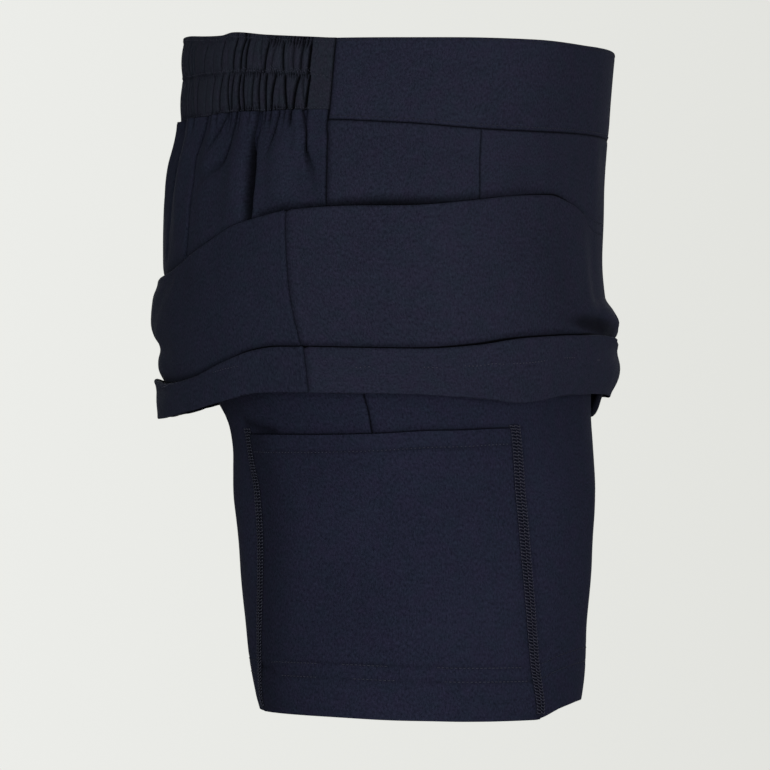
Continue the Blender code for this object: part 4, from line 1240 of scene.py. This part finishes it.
def knit_material(name, dark, light):
    """A matte double knit: fine loops in wales and courses, mottled yarn and a little fuzz."""
    material, tree = new_material(name)
    flat = node(tree, "ShaderNodeUVMap", uv_map="cloth").outputs["UV"]
    stretched = node(tree, "ShaderNodeMapping", Scale=(1.0, WALE_STRETCH, 1.0))
    tree.links.new(flat, stretched.inputs["Vector"])
    wales = stretched.outputs["Vector"]
    grains = [(noise(tree, wales if grain.along_wales else flat, grain.scale, grain.detail,
                     grain.rough), grain) for grain in GRAINS]
    shade = add_up(tree, [(value, grain.shade) for value, grain in grains])
    height = add_up(tree, [(value, grain.height) for value, grain in grains if grain.height])
    yarn = blend(tree, mapped(tree, shade, *SHADE_RANGE), dark, light)
    hue = noise(tree, flat, HUE_SCALE, detail=3.0, rough=0.7)
    tint = blend(tree, hue, GREEN_TINT, RED_TINT, TINT_PLACES)
    tinted = node(tree, "ShaderNodeVectorMath", operation="MULTIPLY")
    tree.links.new(yarn, tinted.inputs[0])
    tree.links.new(tint, tinted.inputs[1])
    # Ambient occlusion painted into the base colour as shade.
    occlusion_shade = occlusion(tree, reach=0.005, darkest=0.25, power=1.5)
    shaded = scaled(tree, tinted.outputs["Vector"], occlusion_shade)
    bump = node(tree, "ShaderNodeBump", Strength=0.6, Distance=0.0004)
    tree.links.new(height, bump.inputs["Height"])
    shader = tree.nodes["Principled BSDF"]
    tree.links.new(darkened_by_seams_and_shade(tree, shaded, DARKEST_SEAM_AND_SHADE), shader.inputs["Base Color"])
    tree.links.new(bump.outputs["Normal"], shader.inputs["Normal"])
    set_inputs(shader, {"Roughness": 0.95, "Specular IOR Level": 0.05, "Sheen Weight": 0.012,
                        "Sheen Roughness": 0.5, "Sheen Tint": (0.5, 0.55, 0.9, 1)})
    return material


def thread_material(name, dark, light):
    material, tree = new_material(name)
    shader = tree.nodes["Principled BSDF"]
    place = node(tree, "ShaderNodeNewGeometry").outputs["Position"]
    twist = noise(tree, place, TWIST_SCALE, detail=1.0)
    tree.links.new(blend(tree, twist, dark, light), shader.inputs["Base Color"])
    set_inputs(shader, {"Roughness": 0.7, "Specular IOR Level": 0.15})
    return material


BACKDROP_FADE = 0.7       # half the width over which the backdrop darkens
PAPER, SHADED_PAPER = (0.838, 0.845, 0.815), (0.765, 0.770, 0.735)


def backdrop_material():
    """Seamless pale paper, with painted shade that makes it a little darker towards the wearer's
    front.
    """
    material, tree = new_material("pale_backdrop")
    tree.nodes.remove(tree.nodes["Principled BSDF"])
    place = node(tree, "ShaderNodeNewGeometry").outputs["Position"]
    parts = node(tree, "ShaderNodeSeparateXYZ")
    tree.links.new(place, parts.inputs[0])
    share = mapped(tree, parts.outputs["Y"], BACKDROP_FADE, -BACKDROP_FADE)
    glow = node(tree, "ShaderNodeEmission")
    paper = blend(tree, share, PAPER, SHADED_PAPER)
    tree.links.new(paper, glow.inputs["Color"])
    tree.links.new(glow.outputs[0], tree.nodes["Material Output"].inputs["Surface"])
    return material


# ---- the garment -----------------------------------------------------------------------------
def dress(name, shell, material, fullness=1.0):
    """Add a shell in place of the node of that name, hang it on the body and hide that node."""
    piece = add_shell(name + "_cloth", shell, material, fullness)
    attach(piece, BODY)
    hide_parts(name)


HEM_THREAD, LEG_THREAD, FLATLOCK_THREAD = 0.24, 0.22, 0.24    # radii of the thicker threads
# Where the stitches of the skirt's hem lie on the cloth; between these angles they sink into it.
HEM_RUNS = ((20, 31), (49, 57), (85, 88), (97, 101), (106, 116), (118, 127.4), (133, 137.5),
            (147, 149.4))
# Where the leg hem's rows show on the pocket, lower and upper row, as shares from its back seam.
POCKET_RUNS = (((0.12, 0.27), (0.39, 0.53), (0.68, 0.97)),
               ((0.07, 0.27), (0.35, 0.51), (0.66, 0.94)))


def in_runs(runs):
    return lambda share: any(start <= share <= end for start, end in runs)


def on_hem_run(around, line, share):
    run = run_of(line.points)
    place = half_turn(np.interp(share * run[-1], run, around))
    return any(start <= place <= end for start, end in HEM_RUNS)


def sew(name, threads, material, radius=THREAD):
    piece = add_threads(name, threads, material, radius)
    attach(piece, BODY)


def skirt_hem_row(shell, around):
    line = line_at(shell, hem_row(around), "bottom")
    return stitch_row(line, pitch=2.2, space=1.2,
                      keep=lambda share: on_hem_run(around, line, share))


def pocket_rows(pocket):
    """The stitches of the pocket's top hem and of the leg's hem where it crosses the pocket."""
    below_top = line_at(pocket, mix(*POCKET_ROWS, POCKET_COLUMNS), "top")
    rows = [stitch_row(below_top, pitch=2.2, space=1.1, trim=5.0)]
    for row, runs in zip(LEG_HEM_ROWS, POCKET_RUNS):
        rows.append(stitch_row(line_at(pocket, row, "bottom"), trim=4.0, keep=in_runs(runs)))
    return rows


def leg_rows(leg_front, leg_back):
    """The leg hem's stitches beyond the pocket."""
    rows = []
    for shell, share in ((leg_front, (0.42, 0.995)), (leg_back, (0.005, 0.58))):
        for row in LEG_HEM_ROWS:
            rows.append(stitch_row(part_of(line_at(shell, row, "bottom"), *share)))
    return rows


def make_garment():
    knit = knit_material("knit", (0.0095, 0.0098, 0.0185), (0.0235, 0.0250, 0.0440))
    # A darker copy of the knit for the back skirt, which turns from the lamps: painted shade.
    shaded_back_knit = knit_material("knit_back", (0.0086, 0.0093, 0.0180), (0.0216, 0.0238, 0.0420))
    gathered = knit_material("knit_gathered", (0.0102, 0.0108, 0.0171), (0.0250, 0.0268, 0.0396))
    shorts = knit_material("knit_shorts", (0.0078, 0.0084, 0.0170), (0.0204, 0.0220, 0.0420))
    # The navy thread three times: the second and third are lighter copies whose extra brightness
    # is a painted glint.
    hidden = thread_material("navy_thread", (0.011, 0.012, 0.020), (0.024, 0.025, 0.038))
    thread = thread_material("thread_painted_glint", (0.018, 0.019, 0.030), (0.046, 0.047, 0.070))
    strong_glint_thread = thread_material("thread_painted_strong_glint", (0.024, 0.024, 0.037), (0.054, 0.053, 0.080))

    band, casing = front_band(), back_casing()
    skirt_front, skirt_back = front_skirt(), back_skirt()
    leg_front, leg_back, pocket = leg_shell(True), leg_shell(False), pocket_shell()

    dress("waistband_front", band, knit)
    dress("waistband_back", casing, gathered,
          fullness=1.6)
    dress("skirt_front", skirt_front, knit)
    dress("skirt_back", skirt_back, shaded_back_knit,
          fullness=1.15)
    for side, turn in (("right", lambda shell: shell), ("left", mirrored)):
        dress("shorts_%s_front" % side, turn(leg_front), shorts)
        dress("shorts_%s_back" % side, turn(leg_back), shorts)
        dress("pocket_" + side, turn(pocket), shorts)

    sew("band_stitches", [stitch_row(line_at(band, BAND_TOP_ROW, "top")),
                          stitch_row(line_at(band, BAND_SEAM_ROW, "bottom"))], hidden)
    rows = ((HEADING, "top"), (casing_middle(), "top"), (0.9, "bottom"))
    sew("casing_stitches", [stitch_row(line_at(casing, distance, edge), pitch=1.75, space=0.75)
                            for distance, edge in rows], thread)
    for name, shell, columns in (("front", skirt_front, front_columns()),
                                 ("back", skirt_back, back_columns())):
        sew("hem_stitches_" + name, [skirt_hem_row(shell, swung(columns, 5))], strong_glint_thread,
            HEM_THREAD)

    on_pocket, on_legs = pocket_rows(pocket), leg_rows(leg_front, leg_back)
    front_seam, back_seam = flatlock(True), flatlock(False)
    for side, turn in (("right", list), ("left", mirrored_threads)):
        for name, threads, yarn, radius in (
                ("leg_stitches_", on_pocket, thread, LEG_THREAD),
                ("leg_hem_stitches_", on_legs, hidden, LEG_THREAD),
                ("pocket_front_seam_", front_seam, strong_glint_thread, FLATLOCK_THREAD),
                ("pocket_back_seam_", back_seam, thread, FLATLOCK_THREAD)):
            sew(name + side, turn(threads), yarn, radius)


BACKDROP_RADIUS = 6.5


def make_backdrop():
    """A bowl of pale paper round everything: floor, curved sides and a far wall in one."""
    low, high, bend, count = -5.0, 6.0, 3.0, 64
    profile = [(0.0, low), (BACKDROP_RADIUS - bend, low)]
    profile += [(BACKDROP_RADIUS - bend + bend * math.sin(t), low + bend - bend * math.cos(t))
                for t in np.linspace(0, math.pi / 2, 10)[1:]]
    profile += [(BACKDROP_RADIUS, high), (0.0, high + 1)]
    turns = np.linspace(0, 2 * math.pi, count + 1)[:-1]
    points = [(r * math.cos(a), r * math.sin(a), z) for r, z in profile for a in turns]
    faces = []
    for ring in range(0, (len(profile) - 1) * count, count):
        for i in range(count):
            after = (i + 1) % count
            faces.append((ring + i, ring + after, ring + count + after, ring + count + i))
    mesh = bpy.data.meshes.new("backdrop")
    mesh.from_pydata(points, [], faces)
    backdrop = add_object("backdrop", mesh, backdrop_material())
    backdrop.visible_diffuse = False
    backdrop.visible_glossy = False
    backdrop.visible_shadow = False


AIM = (0, 0, -0.16)       # where the lamps point, in metres
WORLD_LIGHT = 0.22
CAMERA_PLACE = (-3.0, 0.0074, -0.16775)
CAMERA_LENS = 255.0
LAMPS = table_of(
    "name place size power colour",
    ("key", (-2.75, -0.35, -0.3), 1.1, 40.0, (1.0, 1.0, 1.0)),
    ("fill", (-2.3, 1.6, -0.1), 1.2, 15.0, (0.85, 0.98, 1.0)),
    ("front", (-1.5, -2.4, -0.15), 1.2, 14.0, (0.87, 0.96, 1.0)),
    ("above", (0.0, 0.0, 2.6), 1.0, 5.0, (1.0, 1.0, 1.0)),
    ("back_left", (2.8, 0.5, 0.6), 1.4, 14.0, (0.92, 0.98, 1.0)),
    ("back_right", (2.8, -0.5, 0.6), 1.4, 14.0, (0.92, 0.98, 1.0)))


def make_studio():
    world = bpy.data.worlds.new("studio")
    bpy.context.scene.world = world
    world.use_nodes = True
    set_inputs(world.node_tree.nodes["Background"],
               {"Color": (1.0, 1.0, 1.0, 1), "Strength": WORLD_LIGHT})

    for lamp in LAMPS:
        light = bpy.data.lights.new(lamp.name, "AREA")
        light.shape, light.size = "DISK", lamp.size
        light.energy, light.color = lamp.power, lamp.colour
        piece = bpy.data.objects.new(lamp.name, light)
        piece.location = lamp.place
        piece.rotation_mode = "QUATERNION"
        piece.rotation_quaternion = (Vector(AIM) - piece.location).to_track_quat("-Z", "Y")
        piece.visible_camera = False
        bpy.context.collection.objects.link(piece)

    lens = bpy.data.cameras.new("camera")
    camera = bpy.data.objects.new("camera", lens)
    bpy.context.collection.objects.link(camera)
    lens.sensor_width, lens.lens = 36.0, CAMERA_LENS
    lens.clip_start, lens.clip_end = 0.1, 60.0
    camera.location = CAMERA_PLACE
    camera.rotation_euler = (math.pi / 2, 0, -math.pi / 2)
    bpy.context.scene.camera = camera
    bpy.context.scene.view_settings.view_transform = "Standard"


make_garment()
make_backdrop()
make_studio()
